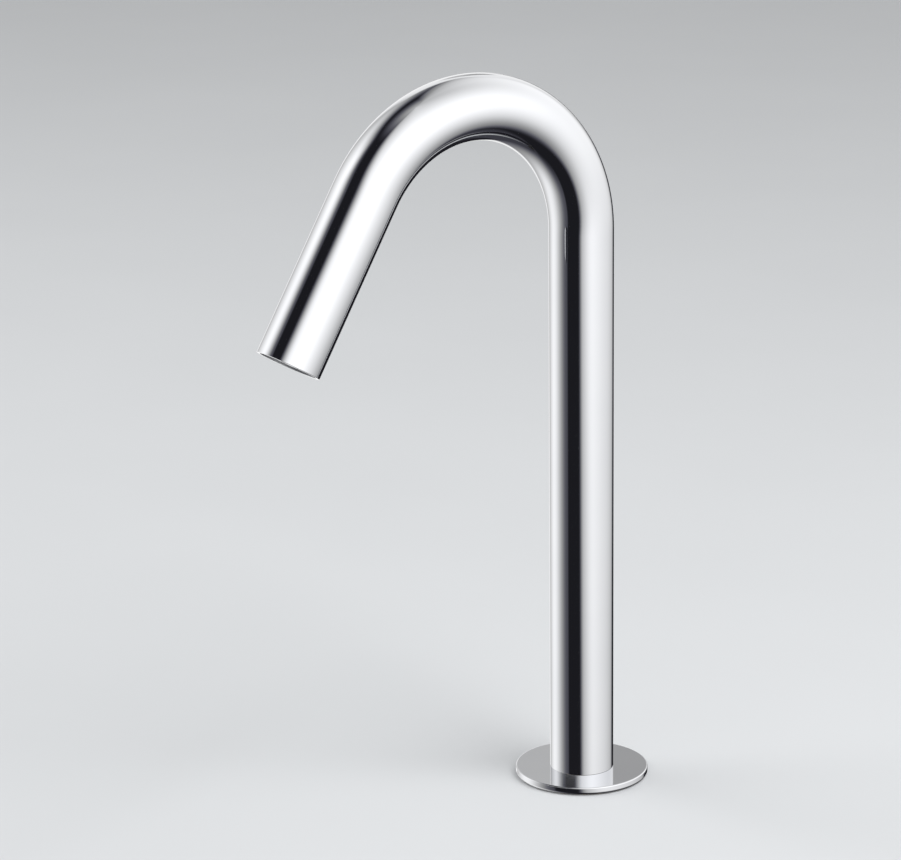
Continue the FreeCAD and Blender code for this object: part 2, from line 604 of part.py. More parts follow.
def make_cable():
    """The lead follows the tube, then crosses to the outer side behind the sensor."""
    body = new_body("sensor_cable")
    bind(body, "Placement.Base.x", "cable_offset")
    path = new_sketch(body, "path", "YZ_Plane")
    lean = math.radians(value("spout_tilt"))
    bend, offset = value("cable_bend"), value("sensor_offset")
    turn = math.acos(1 - offset / (2 * bend))
    cross = 2 * bend * math.sin(turn)
    first_run = f"(spout_length - {CABLE_END} - cable_straight)"
    spout = gooseneck(path, SOCKET_TOP, f"{first_run} - {cross}")
    along = V(-math.sin(lean), -math.cos(lean), 0)
    out = V(-math.cos(lean), math.sin(lean), 0)
    start = path.getPoint(spout, 2)
    middle = start + along * (cross / 2) + out * (offset / 2)
    end = start + along * cross + out * offset
    heading = math.atan2(along.y, along.x)
    ring_a = Part.Circle(start + out * bend, V(0, 0, 1), bend)
    ring_b = Part.Circle(end - out * bend, V(0, 0, 1), bend)
    facing_a = math.atan2(-out.y, -out.x)
    facing_b = math.atan2(out.y, out.x)
    a = path.addGeometry(Part.ArcOfCircle(ring_a, facing_a - turn, facing_a), False)
    b = path.addGeometry(Part.ArcOfCircle(ring_b, facing_b - turn, facing_b), False)
    last_end = end + along * value("cable_straight")
    last = path.addGeometry(Part.LineSegment(end, last_end), False)
    path.addConstraint(Sketcher.Constraint("Tangent", spout, 2, a, 2))
    path.addConstraint(Sketcher.Constraint("Tangent", a, 1, b, 1))
    path.addConstraint(Sketcher.Constraint("Tangent", b, 2, last, 1))
    path.addConstraint(Sketcher.Constraint("Parallel", spout, last))
    path.addConstraint(Sketcher.Constraint("Equal", a, b))
    constrain(path, "cable_bend", "Radius", a)
    constrain(path, "cable_straight", "Distance", last)
    pin_point(path, last, 2,
              f"{TIP_Y} + {CABLE_END} * sin(spout_tilt) - sensor_offset * cos(spout_tilt)",
              f"{TIP_Z} + {CABLE_END} * cos(spout_tilt) + sensor_offset * sin(spout_tilt)")
    doc.recompute()
    swept(body, path, SOCKET_TOP, (CABLE_RADIUS,))
    length = sum(edge.Length for edge in path.Shape.Edges)
    section = math.pi * value(CABLE_RADIUS) ** 2
    print(f"sensor lead {length:.1f} mm, volume ratio {body.Shape.Volume / (section * length):.5f}")
    inner = f"({CABLE_RADIUS} + fit_gap)"
    boot = revolved("cable_boot", [
        (inner, NOZZLE_BACK),
        (f"{inner} + boot_wall", NOZZLE_BACK),
        (f"{inner} + boot_tip_wall", f"{NOZZLE_BACK} + boot_length"),
        (inner, f"{NOZZLE_BACK} + boot_length"),
    ])
    to_outlet(boot, "cable_offset", "-sensor_offset")


def make_nozzle():
    block = revolved("nozzle_housing", [
        ("0", "nozzle_recess"),
        (NOZZLE_RADIUS, "nozzle_recess"),
        (NOZZLE_RADIUS, f"{NOZZLE_BACK} - nozzle_bevel"),
        (f"{NOZZLE_RADIUS} - nozzle_bevel", NOZZLE_BACK),
        ("0", NOZZLE_BACK),
    ])
    nipple = new_sketch(block, "nipple", "XY_Plane", NOZZLE_BACK)
    circle(nipple, NIPPLE_RADIUS, "-hose_offset")
    pad(block, nipple, "nipple_length")
    bore = new_sketch(block, "aerator_bore", "XY_Plane", "nozzle_recess")
    circle(bore, f"{SLEEVE_RADIUS} + fit_gap", "0", "aerator_offset")
    pocket(block, bore, "aerator_height + seal_thickness")
    chamber = new_sketch(block, "chamber", "XY_Plane", "nozzle_recess")
    circle(chamber, "chamber_diameter / 2", "0", "aerator_offset")
    pocket(block, chamber, f"{CHAMBER_TOP} - nozzle_recess")
    way = new_sketch(block, "water_way", "XY_Plane", SEAL_TOP)
    circle(way, "nipple_bore / 2", "-hose_offset")
    pocket(block, way, f"{NOZZLE_BACK} + nipple_length - {SEAL_TOP}")
    slot = new_sketch(block, "sensor_slot", "XY_Plane", "nozzle_recess")
    pill(slot, SLOT_HALF, "slot_width / 2", "-sensor_offset")
    pocket(block, slot, "nozzle_length")
    ledge = new_sketch(block, "window_seat", "XY_Plane", "nozzle_recess")
    pill(ledge, SLOT_HALF, WINDOW_ROUND, "-sensor_offset")
    pocket(block, ledge, "window_thickness + gasket_bead")
    # blind hole for the grub screw, in the sketch's plane seen along Y
    dimple_depth = "(screw_length + screw_sink - tube_wall - nozzle_gap + fit_gap)"
    dimple = new_sketch(block, "screw_dimple", "XZ_Plane", f"{dimple_depth} - {NOZZLE_RADIUS}")
    circle(dimple, "screw_diameter / 2 + fit_gap", "0", "screw_height")
    before = block.Shape.Volume
    cut = block.newObject("PartDesign::Pocket", "screw_dimple_cut")
    cut.Profile = dimple
    bind(cut, "Length", "tube_diameter")
    doc.recompute()
    assert block.Shape.Volume < before, "the grub screw's hole cuts nothing"
    to_outlet(block)

    screw = new_body("nozzle_set_screw")
    round_end = new_sketch(screw, "round", "XY_Plane")
    circle(round_end, "screw_diameter / 2")
    pad(screw, round_end, "screw_length")
    key = new_sketch(screw, "key", "XY_Plane", "screw_length - screw_socket_depth")
    polygon(key, regular(HEX_SIDE_COUNT, "screw_socket"))
    pocket(screw, key, "screw_socket_depth")
    deep = f"({TUBE_RADIUS} - screw_sink - screw_length)"
    screw.Placement = FreeCAD.Placement(V(0, 0, 0), FreeCAD.Rotation(V(-1, 0, 0), 90 + value("spout_tilt")))
    bind(screw, "Placement.Rotation.Angle", "90 + spout_tilt")
    bind(screw, "Placement.Base.y",
         f"{TIP_Y} + screw_height * sin(spout_tilt) + {deep} * cos(spout_tilt)")
    bind(screw, "Placement.Base.z",
         f"{TIP_Z} + screw_height * cos(spout_tilt) - {deep} * sin(spout_tilt)")


def make_aerator():
    lip = f"({SLEEVE_BORE} - lip_width)"
    sleeve_body = revolved("aerator_housing", [
        (lip, "nozzle_recess"),
        (SLEEVE_RADIUS, "nozzle_recess"),
        (SLEEVE_RADIUS, SLEEVE_TOP),
        (SLEEVE_BORE, SLEEVE_TOP),
        (SLEEVE_BORE, INSERT_BOTTOM),
        (lip, INSERT_BOTTOM),
    ])
    notch = new_sketch(sleeve_body, "notch", "XY_Plane", "nozzle_recess")
    half = "notch_width / 2"
    reach = f"({SLEEVE_BORE})"
    near = f"({lip} - lip_width)"
    polygon(notch, [(near, f"-{half}"), (reach, f"-{half}"), (reach, half), (near, half)])
    polar(sleeve_body, pocket(sleeve_body, notch, "notch_depth"), "notch_count")

    insert = revolved("aerator_insert", [
        ("0", INSERT_BOTTOM),
        (CARTRIDGE_RADIUS, INSERT_BOTTOM),
        (CARTRIDGE_RADIUS, JET_BOTTOM),
        (f"{CARTRIDGE_RADIUS} - insert_rim", JET_BOTTOM),
        (f"{CARTRIDGE_RADIUS} - insert_rim", LATTICE_TOP),
        ("0", LATTICE_TOP),
    ])
    middle = new_sketch(insert, "cell_0", "XY_Plane", INSERT_BOTTOM)
    polygon(middle, regular(HEX_SIDE_COUNT, "cell_flats"))
    pocket(insert, middle, "lattice_thickness")
    # each ring of the lattice is a few cells along one side, turned about the middle
    for ring_number in range(1, int(value("cell_rings")) + 1):
        for step in range(ring_number):
            x = f"cell_pitch * ({ring_number} - {step} * cos({FULL_TURN / HEX_SIDE_COUNT}))"
            y = f"cell_pitch * {step} * sin({FULL_TURN / HEX_SIDE_COUNT})"
            cell = new_sketch(insert, f"cell_{ring_number}_{step}", "XY_Plane", INSERT_BOTTOM)
            polygon(cell, regular(HEX_SIDE_COUNT, "cell_flats", x, y))
            polar(insert, pocket(insert, cell, "lattice_thickness"), str(HEX_SIDE_COUNT))

    jets = revolved("aerator_jet_plate", [
        ("0", JET_BOTTOM),
        (CARTRIDGE_RADIUS, JET_BOTTOM),
        (CARTRIDGE_RADIUS, JET_TOP),
        ("jet_post / 2", JET_TOP),
        ("jet_post / 2", f"{JET_TOP} + jet_post_height"),
        ("0", f"{JET_TOP} + jet_post_height"),
    ])
    jet = new_sketch(jets, "jet", "XY_Plane", JET_BOTTOM)
    circle(jet, "jet_diameter / 2", "jet_circle / 2")
    polar(jets, pocket(jets, jet, "jet_thickness"), "jet_count")

    elastic = ring("flow_regulator_ring", "jet_post / 2 + fit_gap + regulator_cord / 2",
                   "regulator_cord", f"{JET_TOP} + regulator_cord / 2")

    rim_inner = f"({CARTRIDGE_RADIUS} - screen_rim)"
    screen = revolved("aerator_screen", [
        (rim_inner, JET_TOP),
        (CARTRIDGE_RADIUS, JET_TOP),
        (CARTRIDGE_RADIUS, f"{JET_TOP} + screen_rim"),
        (f"{rim_inner} + screen_wall", f"{JET_TOP} + screen_rim"),
        ("screen_tip", f"{JET_TOP} + screen_rim + screen_dome"),
        ("0", f"{JET_TOP} + screen_rim + screen_dome"),
        ("0", f"{JET_TOP} + screen_rim + screen_dome - screen_wall"),
        ("screen_tip - screen_wall", f"{JET_TOP} + screen_rim + screen_dome - screen_wall"),
    ])
    seal = washer("aerator_seal", f"{SLEEVE_RADIUS} - seal_width", SLEEVE_RADIUS, SLEEVE_TOP, SEAL_TOP)
    for piece in (sleeve_body, insert, jets, elastic, screen, seal):
        to_outlet(piece, "0", "aerator_offset")


def slot_piece(label, radius, bottom, length, holes=()):
    """A piece with the sensor slot's outline, with round holes through it."""
    body = new_body(label)
    outline = new_sketch(body, "outline", "XY_Plane", bottom)
    pill(outline, SLOT_HALF, radius)
    for hole_radius, x in holes:
        circle(outline, hole_radius, x)
    pad(body, outline, length)
    return to_outlet(body, "0", "-sensor_offset")


def make_diode(label, x):
    dome = "diode_diameter / 2"
    body = new_body(label)
    sketch = new_sketch(body, "outline", "XZ_Plane")
    front, back = value(DIODE_FRONT), value(f"{DIODE_FRONT} + diode_body")
    r = value(dome)
    shoulder = front + r
    side = sketch.addGeometry(Part.LineSegment(V(r, shoulder, 0), V(r, back, 0)), False)
    top = sketch.addGeometry(Part.LineSegment(V(r, back, 0), V(0, back, 0)), False)
    axis = sketch.addGeometry(Part.LineSegment(V(0, back, 0), V(0, front, 0)), False)
    round_front = Part.Circle(V(0, shoulder, 0), V(0, 0, 1), r)
    nose = sketch.addGeometry(Part.ArcOfCircle(round_front, 1.5 * math.pi, 2 * math.pi), False)
    for one, other in ((side, top), (top, axis)):
        sketch.addConstraint(Sketcher.Constraint("Coincident", one, 2, other, 1))
    sketch.addConstraint(Sketcher.Constraint("Coincident", axis, 2, nose, 1))
    sketch.addConstraint(Sketcher.Constraint("Coincident", nose, 2, side, 1))
    pin_point(sketch, side, 1, dome, f"{DIODE_FRONT} + {dome}")
    pin_point(sketch, top, 1, dome, f"{DIODE_FRONT} + diode_body")
    pin_point(sketch, axis, 1, "0", f"{DIODE_FRONT} + diode_body")
    pin_point(sketch, axis, 2, "0", DIODE_FRONT)
    constrain(sketch, dome, "Radius", nose)
    spin = body.newObject("PartDesign::Revolution", f"{label}_spin")
    spin.Profile = sketch
    spin.ReferenceAxis = (sketch, ["V_Axis"])
    spin.Angle = FULL_TURN
    doc.recompute()
    legs = new_sketch(body, "legs", "XY_Plane", f"{DIODE_FRONT} + diode_body")
    for side_sign in ("", "-"):
        circle(legs, "leg_diameter / 2", "0", f"{side_sign}leg_pitch / 2")
    pad(body, legs, f"{BOARD_BOTTOM} - {DIODE_FRONT} - diode_body")
    to_outlet(body, x, "-sensor_offset")


def make_sensor():
    inside = "(slot_width / 2 - fit_gap)"
    bead_outer = f"({WINDOW_ROUND} - fit_gap)"
    diode_hole = "(diode_diameter / 2 + fit_gap)"
    slot_piece("sensor_window", bead_outer, "nozzle_recess", "window_thickness")
    bead = new_body("window_gasket")
    outline = new_sketch(bead, "outline", "XY_Plane", WINDOW_TOP)
    pill(outline, SLOT_HALF, bead_outer)
    pill(outline, SLOT_HALF, "slot_width / 2")
    pad(bead, outline, "gasket_bead")
    to_outlet(bead, "0", "-sensor_offset")
    slot_piece("sensor_carrier", inside, BEAD_TOP, "carrier_length",
               [(diode_hole, SLOT_HALF), (diode_hole, f"-{SLOT_HALF}")])
    make_diode("ir_emitter", f"-{SLOT_HALF}")
    make_diode("ir_receiver", SLOT_HALF)
    slot_piece("sensor_board", inside, BOARD_BOTTOM, "board_thickness")
    potting = slot_piece("sensor_potting", inside, BOARD_TOP, f"{NOZZLE_BACK} - {BOARD_TOP}")
    hole = new_sketch(potting, "lead_hole", "XY_Plane", CABLE_END)
    circle(hole, f"{CABLE_RADIUS} + fit_gap", "cable_offset")
    pocket(potting, hole, f"{NOZZLE_BACK} - {CABLE_END}")


def check_and_write():
    doc.recompute()
    for thing in doc.Objects:
        if "Invalid" in thing.State or "Error" in thing.State:
            raise RuntimeError(f"{thing.Name} failed: {thing.State}")
    nodes = [o for o in doc.Objects if o.TypeId in ("PartDesign::Body", "Part::Compound")]
    for node in nodes:
        if node.Shape.isNull() or not node.Shape.isValid():
            raise RuntimeError(f"{node.Label} has no valid shape")
    os.makedirs("parts", exist_ok=True)
    for node in nodes:
        node.Shape.exportStep(f"parts/{node.Label}.step")
        print(f"{node.Label:22s} {node.Shape.Volume:10.2f} mm3  {len(node.Shape.Solids)} solid")
    print(len(nodes), "nodes")


make_tube()
make_flange()
make_bush_and_shank()
make_clamping_set()
make_inlet()
make_lead_socket()
make_hose()
make_cable()
make_nozzle()
make_aerator()
make_sensor()
check_and_write()
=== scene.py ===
import math

import bmesh
import bpy
from mathutils import Matrix, Vector


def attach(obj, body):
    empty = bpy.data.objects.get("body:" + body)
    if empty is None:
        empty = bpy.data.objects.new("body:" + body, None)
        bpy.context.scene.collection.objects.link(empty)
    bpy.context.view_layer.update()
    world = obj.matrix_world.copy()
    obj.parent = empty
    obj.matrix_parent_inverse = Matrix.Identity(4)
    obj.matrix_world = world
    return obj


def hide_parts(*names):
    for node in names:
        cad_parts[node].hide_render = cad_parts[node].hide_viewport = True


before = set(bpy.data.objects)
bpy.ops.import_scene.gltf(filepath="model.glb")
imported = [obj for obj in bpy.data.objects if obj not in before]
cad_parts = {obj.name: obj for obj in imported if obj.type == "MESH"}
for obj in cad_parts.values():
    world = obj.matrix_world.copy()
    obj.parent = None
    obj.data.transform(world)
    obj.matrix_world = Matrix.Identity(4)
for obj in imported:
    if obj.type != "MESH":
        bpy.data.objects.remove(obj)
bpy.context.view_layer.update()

# Sensor tap: fine meshes for the pieces that show, a finish for every piece, the studio and the
# camera. Pieces are drawn in millimetres, as the part is, and brought to metres by MM.
MM = 0.001

# Sizes of the part, in millimetres, measured from the deck where they are heights.
TUBE_RADIUS, TUBE_BORE = 14.0, 12.5
FOOT_HEIGHT = 3.5
COLUMN_TOP = 248.0
BEND_RADIUS = 60.0
SPOUT_TILT = math.radians(31)
SPOUT_LENGTH = 77.5
BEND_TURN = math.pi - SPOUT_TILT
COLUMN_RUN = COLUMN_TOP - FOOT_HEIGHT
BEND_RUN = BEND_RADIUS * BEND_TURN
TUBE_RUN = COLUMN_RUN + BEND_RUN + SPOUT_LENGTH
SHANK_RADIUS, SHANK_BORE = 11.0, 8.5
SHANK_LOW, SHANK_HIGH = -55.0, 16.0
NUT_LOW, NUT_HIGH = -33.05, -25.05
NUT_FLATS = 30.0
HOSE_X = -3.8
NIPPLE_RADIUS, NIPPLE_BORE, NIPPLE_LENGTH = 2.95, 2.0, 10.0

# Fineness of the meshes: facets round a piece, the longest facet along the tube, and the angles
# in degrees above which an edge stays sharp, on plain pieces and on machined threads and corners.
ROUND_STEPS = 128
TUBE_FACET = 2.6
PLAIN_SHARP, MACHINED_SHARP = 28, 20
# How near points are joined into one, in metres, as drawn and after a cut.
WELD, CUT_WELD = 1e-7, 2e-6
# How far a cutter reaches past what it cuts.
PAST = 1.0


# --- Places: each turns (radius, height, angle) into a point of the part ---

def tube_station(run):
    """Centre and heading of the tube's line, this far from its foot."""
    if run < COLUMN_RUN:
        return Vector((0, 0, FOOT_HEIGHT + run)), Vector((0, 0, 1))
    turn = min((run - COLUMN_RUN) / BEND_RADIUS, BEND_TURN)
    centre = Vector((0, BEND_RADIUS * (math.cos(turn) - 1), COLUMN_TOP + BEND_RADIUS * math.sin(turn)))
    heading = Vector((0, -math.sin(turn), math.cos(turn)))
    return centre + heading * max(0.0, run - COLUMN_RUN - BEND_RUN), heading


def along_tube(radius, run, angle):
    centre, heading = tube_station(run)
    side = Vector((1, 0, 0))
    outer = heading.cross(side)
    return centre + (side * math.cos(angle) + outer * math.sin(angle)) * radius


def upright(radius, height, angle):
    return Vector((radius * math.cos(angle), radius * math.sin(angle), height))


OUTLET = Matrix.Translation(tube_station(TUBE_RUN)[0]) @ Matrix.Rotation(-SPOUT_TILT, 4, "X")


def shifted(x, y):
    return Matrix.Translation((x, y, 0))


def within(seat):
    """The place function of a frame of its own, such as the outlet's, whose heights run up the spout."""
    return lambda radius, height, angle: seat @ upright(radius, height, angle)


# --- Makers of meshes ---

def rounded(corners, steps=4):
    """The closed outline through corners of (radius, height, rounding)."""
    outline = []
    for i, (x, y, size) in enumerate(corners):
        here = Vector((x, y))
        if not size:
            outline.append(here)
            continue
        before = (Vector(corners[i - 1][:2]) - here).normalized()
        after = (Vector(corners[(i + 1) % len(corners)][:2]) - here).normalized()
        half = before.angle(after) / 2
        centre = here + (before + after).normalized() * (size / math.sin(half))
        start = here + before * (size / math.tan(half)) - centre
        end = here + after * (size / math.tan(half)) - centre
        outline += [centre + start.lerp(end, k / steps).normalized() * size for k in range(steps + 1)]
    return outline


def divided(outline, longest):
    """The outline with its long edges cut into shorter ones."""
    finer = []
    for i, here in enumerate(outline):
        after = outline[(i + 1) % len(outline)]
        count = max(1, math.ceil((after - here).length / longest))
        finer += [here.lerp(after, k / count) for k in range(count)]
    return finer


def smoothed(piece, sharp=PLAIN_SHARP):
    """Smooth shading but for edges steeper than sharp, with flat faces kept flat."""
    piece.data.shade_smooth()
    piece.data.set_sharp_from_angle(angle=math.radians(sharp))
    even = piece.modifiers.new("even_normals", "WEIGHTED_NORMAL")
    even.keep_sharp = True
    return piece


def piece_from(name, points, faces, sharp=PLAIN_SHARP):
    """A mesh object from points in millimetres."""
    mesh = bpy.data.meshes.new(name)
    mesh.from_pydata([p * MM for p in points], [], faces)
    work = bmesh.new()
    work.from_mesh(mesh)
    bmesh.ops.remove_doubles(work, verts=work.verts, dist=WELD)
    bmesh.ops.recalc_face_normals(work, faces=work.faces)
    work.to_mesh(mesh)
    work.free()
    piece = bpy.data.objects.new(name, mesh)
    bpy.context.scene.collection.objects.link(piece)
    return smoothed(piece, sharp)


def turned(name, outline, place=upright, steps=ROUND_STEPS):
    """A piece spun from its closed outline, as on a lathe."""
    points, faces = [], []
    count = len(outline)
    for k in range(steps):
        angle = 2 * math.pi * k / steps
        points += [place(r, h, angle) for r, h in outline]
        a, b = k * count, ((k + 1) % steps) * count
        for i in range(count):
            j = (i + 1) % count
            # a stretch along the axis sweeps no face
            if outline[i][0] or outline[j][0]:
                faces.append((a + i, a + j, b + j, b + i))
    return piece_from(name, points, faces)


def lofted(name, rings, sharp):
    """A piece skinned over closed rings of points, the last joined to the first."""
    count = len(rings[0])
    faces = []
    for k in range(len(rings)):
        a, b = k * count, ((k + 1) % len(rings)) * count
        faces += [(a + i, a + (i + 1) % count, b + (i + 1) % count, b + i) for i in range(count)]
    return piece_from(name, [p for ring in rings for p in ring], faces, sharp)


def plate(name, outlines, low, high, edge, to_part=Matrix.Identity(4)):
    """A flat piece cut to outlines, inner ones being holes, with its edges rounded."""
    curve = bpy.data.curves.new(name, "CURVE")
    curve.dimensions, curve.fill_mode = "2D", "BOTH"
    for outline in outlines:
        spline = curve.splines.new("POLY")
        spline.points.add(len(outline) - 1)
        for point, (x, y) in zip(spline.points, outline):
            point.co = (x, y, 0, 1)
        spline.use_cyclic_u = True
    curve.extrude = (high - low) / 2 - edge
    curve.bevel_depth, curve.bevel_resolution, curve.offset = edge, 1, -edge
    blank = bpy.data.objects.new(name, curve)
    bpy.context.scene.collection.objects.link(blank)
    bpy.context.view_layer.update()
    cut = bpy.data.meshes.new_from_object(blank.evaluated_get(bpy.context.evaluated_depsgraph_get()))
    lift = Vector((0, 0, (high + low) / 2))
    points = [to_part @ (v.co + lift) for v in cut.vertices]
    faces = [tuple(face.vertices) for face in cut.polygons]
    bpy.data.objects.remove(blank)
    bpy.data.curves.remove(curve)
    bpy.data.meshes.remove(cut)
    return piece_from(name, points, faces)


def circle(radius, steps=96):
    turns = [2 * math.pi * k / steps for k in range(steps)]
    return [(radius * math.cos(a), radius * math.sin(a)) for a in turns]


def pill(half, radius, steps=24):
    """A slot's outline: two half circles, half of a straight side to each side of the middle."""
    right = [-math.pi / 2 + math.pi * k / steps for k in range(steps + 1)]
    ends = [(half + radius * math.cos(a), radius * math.sin(a)) for a in right]
    return ends + [(-x, -y) for x, y in ends]


def cutter(radius, low, high, seat, half=0.0, mouth=None, flare=0.2):
    """A bar to cut with, round, or drawn out along X by half each way. It flares below the mouth,
    to leave the edge there with a bevel."""
    levels = [(radius, low), (radius, high)]
    if mouth is not None:
        levels = [(radius + 2 * flare, low), (radius + 2 * flare, mouth - flare),
                  (radius, mouth + flare), (radius, high)]
    rings = [[seat @ Vector((x, y, height)) for x, y in pill(half, r)] for r, height in levels]
    count = len(rings[0])
    faces = [tuple(range(count)), tuple(range(len(rings) * count - count, len(rings) * count))]
    for k in range(len(rings) - 1):
        a, b = k * count, (k + 1) * count
        faces += [(a + i, a + (i + 1) % count, b + (i + 1) % count, b + i) for i in range(count)]
    return piece_from("cutter", [p for ring in rings for p in ring], faces)


def carved(piece, *cutters):
    """Cuts the cutters out of the piece and deletes them."""
    piece.modifiers.clear()
    for tool in cutters:
        cut = piece.modifiers.new("cut", "BOOLEAN")
        cut.object, cut.operation, cut.solver = tool, "DIFFERENCE", "EXACT"
    bpy.context.view_layer.update()
    carving = piece.evaluated_get(bpy.context.evaluated_depsgraph_get())
    mesh = bpy.data.meshes.new_from_object(carving)
    work = bmesh.new()
    work.from_mesh(mesh)
    bmesh.ops.remove_doubles(work, verts=work.verts, dist=CUT_WELD)
    bmesh.ops.dissolve_degenerate(work, dist=CUT_WELD / 2, edges=work.edges)
    work.to_mesh(mesh)
    work.free()
    piece.modifiers.clear()
    piece.data = mesh
    for tool in cutters:
        bpy.data.objects.remove(tool)
    return smoothed(piece)


# --- Materials ---

def linear(hex_colour):
    """An sRGB hex colour as the linear RGBA that a shader takes."""
    channels = [int(hex_colour[i:i + 2], 16) / 255 for i in (1, 3, 5)]
    return [c / 12.92 if c <= 0.04045 else ((c + 0.055) / 1.055) ** 2.4 for c in channels] + [1.0]


def add(tree, kind, inputs=None, **settings):
    """Adds a node with its settings. inputs gives each socket a value or the output that it is linked to."""
    made = tree.nodes.new(kind)
    for key, setting in settings.items():
        setattr(made, key, setting)
    for key, feed in (inputs or {}).items():
        if isinstance(feed, bpy.types.NodeSocket):
            tree.links.new(feed, made.inputs[key])
        else:
            made.inputs[key].default_value = feed
    return made


def new_material(name, **sockets):
    """A material with its Principled shader's sockets set; returns it, its tree and the shader."""
    material = bpy.data.materials.new(name)
    material.use_nodes = True
    tree = material.node_tree
    shader = tree.nodes["Principled BSDF"]
    for key, number in sockets.items():
        shader.inputs[key.replace("_", " ")].default_value = number
    return material, tree, shader


def spot_of(tree, squeeze=(1, 1, 1)):
    """Where a pattern is on the piece. A small share along an axis draws the pattern out along it."""
    where = add(tree, "ShaderNodeTexCoord").outputs["Object"]
    return add(tree, "ShaderNodeMapping", {"Vector": where, "Scale": squeeze}).outputs["Vector"]


def vary(tree, shader, socket, noise, low, high):
    """Feeds a socket with a pattern spread between two numbers."""
    spread = add(tree, "ShaderNodeMapRange", {"Value": noise, "To Min": low, "To Max": high})
    tree.links.new(spread.outputs["Result"], shader.inputs[socket])


def tint(tree, shader, noise, dark, light):
    """Lets the base colour drift between two colours over a pattern."""
    mix = add(tree, "ShaderNodeMix", {0: noise, 6: linear(dark), 7: linear(light)}, data_type="RGBA")
    tree.links.new(mix.outputs[2], shader.inputs["Base Color"])


def relief(tree, shader, height, depth):
    """Raises the surface by depth, in millimetres, where the pattern is 1."""
    bump = add(tree, "ShaderNodeBump", {"Height": height, "Distance": depth * MM})
    tree.links.new(bump.outputs["Normal"], shader.inputs["Normal"])


def per_mm(count):
    """A noise scale: so many features to the millimetre."""
    return count / MM


# Bright chrome plate over polished brass: a clear mirror, hazed a little by faint polishing marks.
# The marks are drawn coarser than real ones, which would be too fine to show.
chrome, tree, shader = new_material("chrome_plate_polished", Metallic=1.0)
where = spot_of(tree)
grain = add(tree, "ShaderNodeTexNoise",
            {"Vector": where, "Scale": per_mm(1.6), "Detail": 3.0}).outputs["Fac"]
cloud = add(tree, "ShaderNodeTexNoise",
            {"Vector": where, "Scale": per_mm(0.03), "Detail": 2.0}).outputs["Fac"]
vary(tree, shader, "Roughness", cloud, 0.045, 0.075)
tint(tree, shader, cloud, "#D2D3D6", "#D9DADC")
relief(tree, shader, grain, 0.0006)

# The tube's bore, which the polishing wheel and most of the plate never reach: dull drawn metal,
# a soft even grey.
bore_metal, tree, shader = new_material("brass_drawn_thinly_plated", Metallic=1.0)
streak = add(tree, "ShaderNodeTexNoise",
             {"Vector": spot_of(tree), "Scale": per_mm(0.4), "Detail": 3.0}).outputs["Fac"]
vary(tree, shader, "Roughness", streak, 0.42, 0.55)
tint(tree, shader, streak, "#96979A", "#A4A5A8")

# Free-cutting brass straight off the lathe: fine rings left by the tool, warm yellow, half dull.
brass, tree, shader = new_material("brass_turned", Metallic=1.0)
rings = add(tree, "ShaderNodeTexNoise",
            {"Vector": spot_of(tree, (0.05, 0.05, 1)), "Scale": per_mm(4), "Detail": 2.0}).outputs["Fac"]
stain = add(tree, "ShaderNodeTexNoise",
            {"Vector": spot_of(tree), "Scale": per_mm(0.12), "Detail": 4.0}).outputs["Fac"]
vary(tree, shader, "Roughness", stain, 0.22, 0.38)
tint(tree, shader, stain, "#C0A05E", "#DCC386")
relief(tree, shader, rings, 0.006)

# Zinc plate on pressed steel: pale grey, a little cloudy, with a soft sheen.
steel, tree, shader = new_material("zinc_plated_steel", Metallic=1.0)
spangle = add(tree, "ShaderNodeTexVoronoi",
              {"Vector": spot_of(tree), "Scale": per_mm(0.8)}).outputs["Distance"]
vary(tree, shader, "Roughness", spangle, 0.26, 0.4)
tint(tree, shader, spangle, "#B4B8BC", "#C9CCCE")
relief(tree, shader, spangle, 0.002)

# Moulded nitrile rubber: near black, dull, with a bloom of paler dust.
rubber, tree, shader = new_material("nitrile_rubber_moulded", IOR=1.52)
bloom = add(tree, "ShaderNodeTexNoise",
            {"Vector": spot_of(tree), "Scale": per_mm(0.25), "Detail": 6.0}).outputs["Fac"]
vary(tree, shader, "Roughness", bloom, 0.62, 0.82)
tint(tree, shader, bloom, "#1B1B1C", "#2C2C2E")
relief(tree, shader, bloom, 0.03)

# Grey ABS from a spark-eroded mould: a fine even texture that spreads the shine.
abs_grey, tree, shader = new_material("abs_grey_spark_eroded", IOR=1.54)
pits = add(tree, "ShaderNodeTexNoise",
           {"Vector": spot_of(tree), "Scale": per_mm(3), "Detail": 2.0}).outputs["Fac"]
vary(tree, shader, "Roughness", pits, 0.45, 0.58)
tint(tree, shader, pits, "#66686B", "#707275")
relief(tree, shader, pits, 0.004)

# Acetal, injection moulded: milky white, with a waxy smooth skin.
acetal, tree, shader = new_material("acetal_moulded", IOR=1.48, Subsurface_Weight=0.15,
                                    Subsurface_Scale=0.002)
skin = add(tree, "ShaderNodeTexNoise",
           {"Vector": spot_of(tree), "Scale": per_mm(0.7), "Detail": 3.0}).outputs["Fac"]
vary(tree, shader, "Roughness", skin, 0.28, 0.4)
tint(tree, shader, skin, "#E3E4E0", "#ECECE8")
relief(tree, shader, skin, 0.01)

# Extruded polyethylene hose: translucent grey-white, drawn smooth along its length.
hose_pe, tree, shader = new_material("polyethylene_extruded", IOR=1.51, Subsurface_Weight=0.2,
                                     Subsurface_Scale=0.002)
drawn = add(tree, "ShaderNodeTexNoise",
            {"Vector": spot_of(tree, (1, 1, 0.08)), "Scale": per_mm(0.9), "Detail": 2.0}).outputs["Fac"]
vary(tree, shader, "Roughness", drawn, 0.3, 0.42)
tint(tree, shader, drawn, "#CFD3D4", "#DADDDD")
relief(tree, shader, drawn, 0.02)

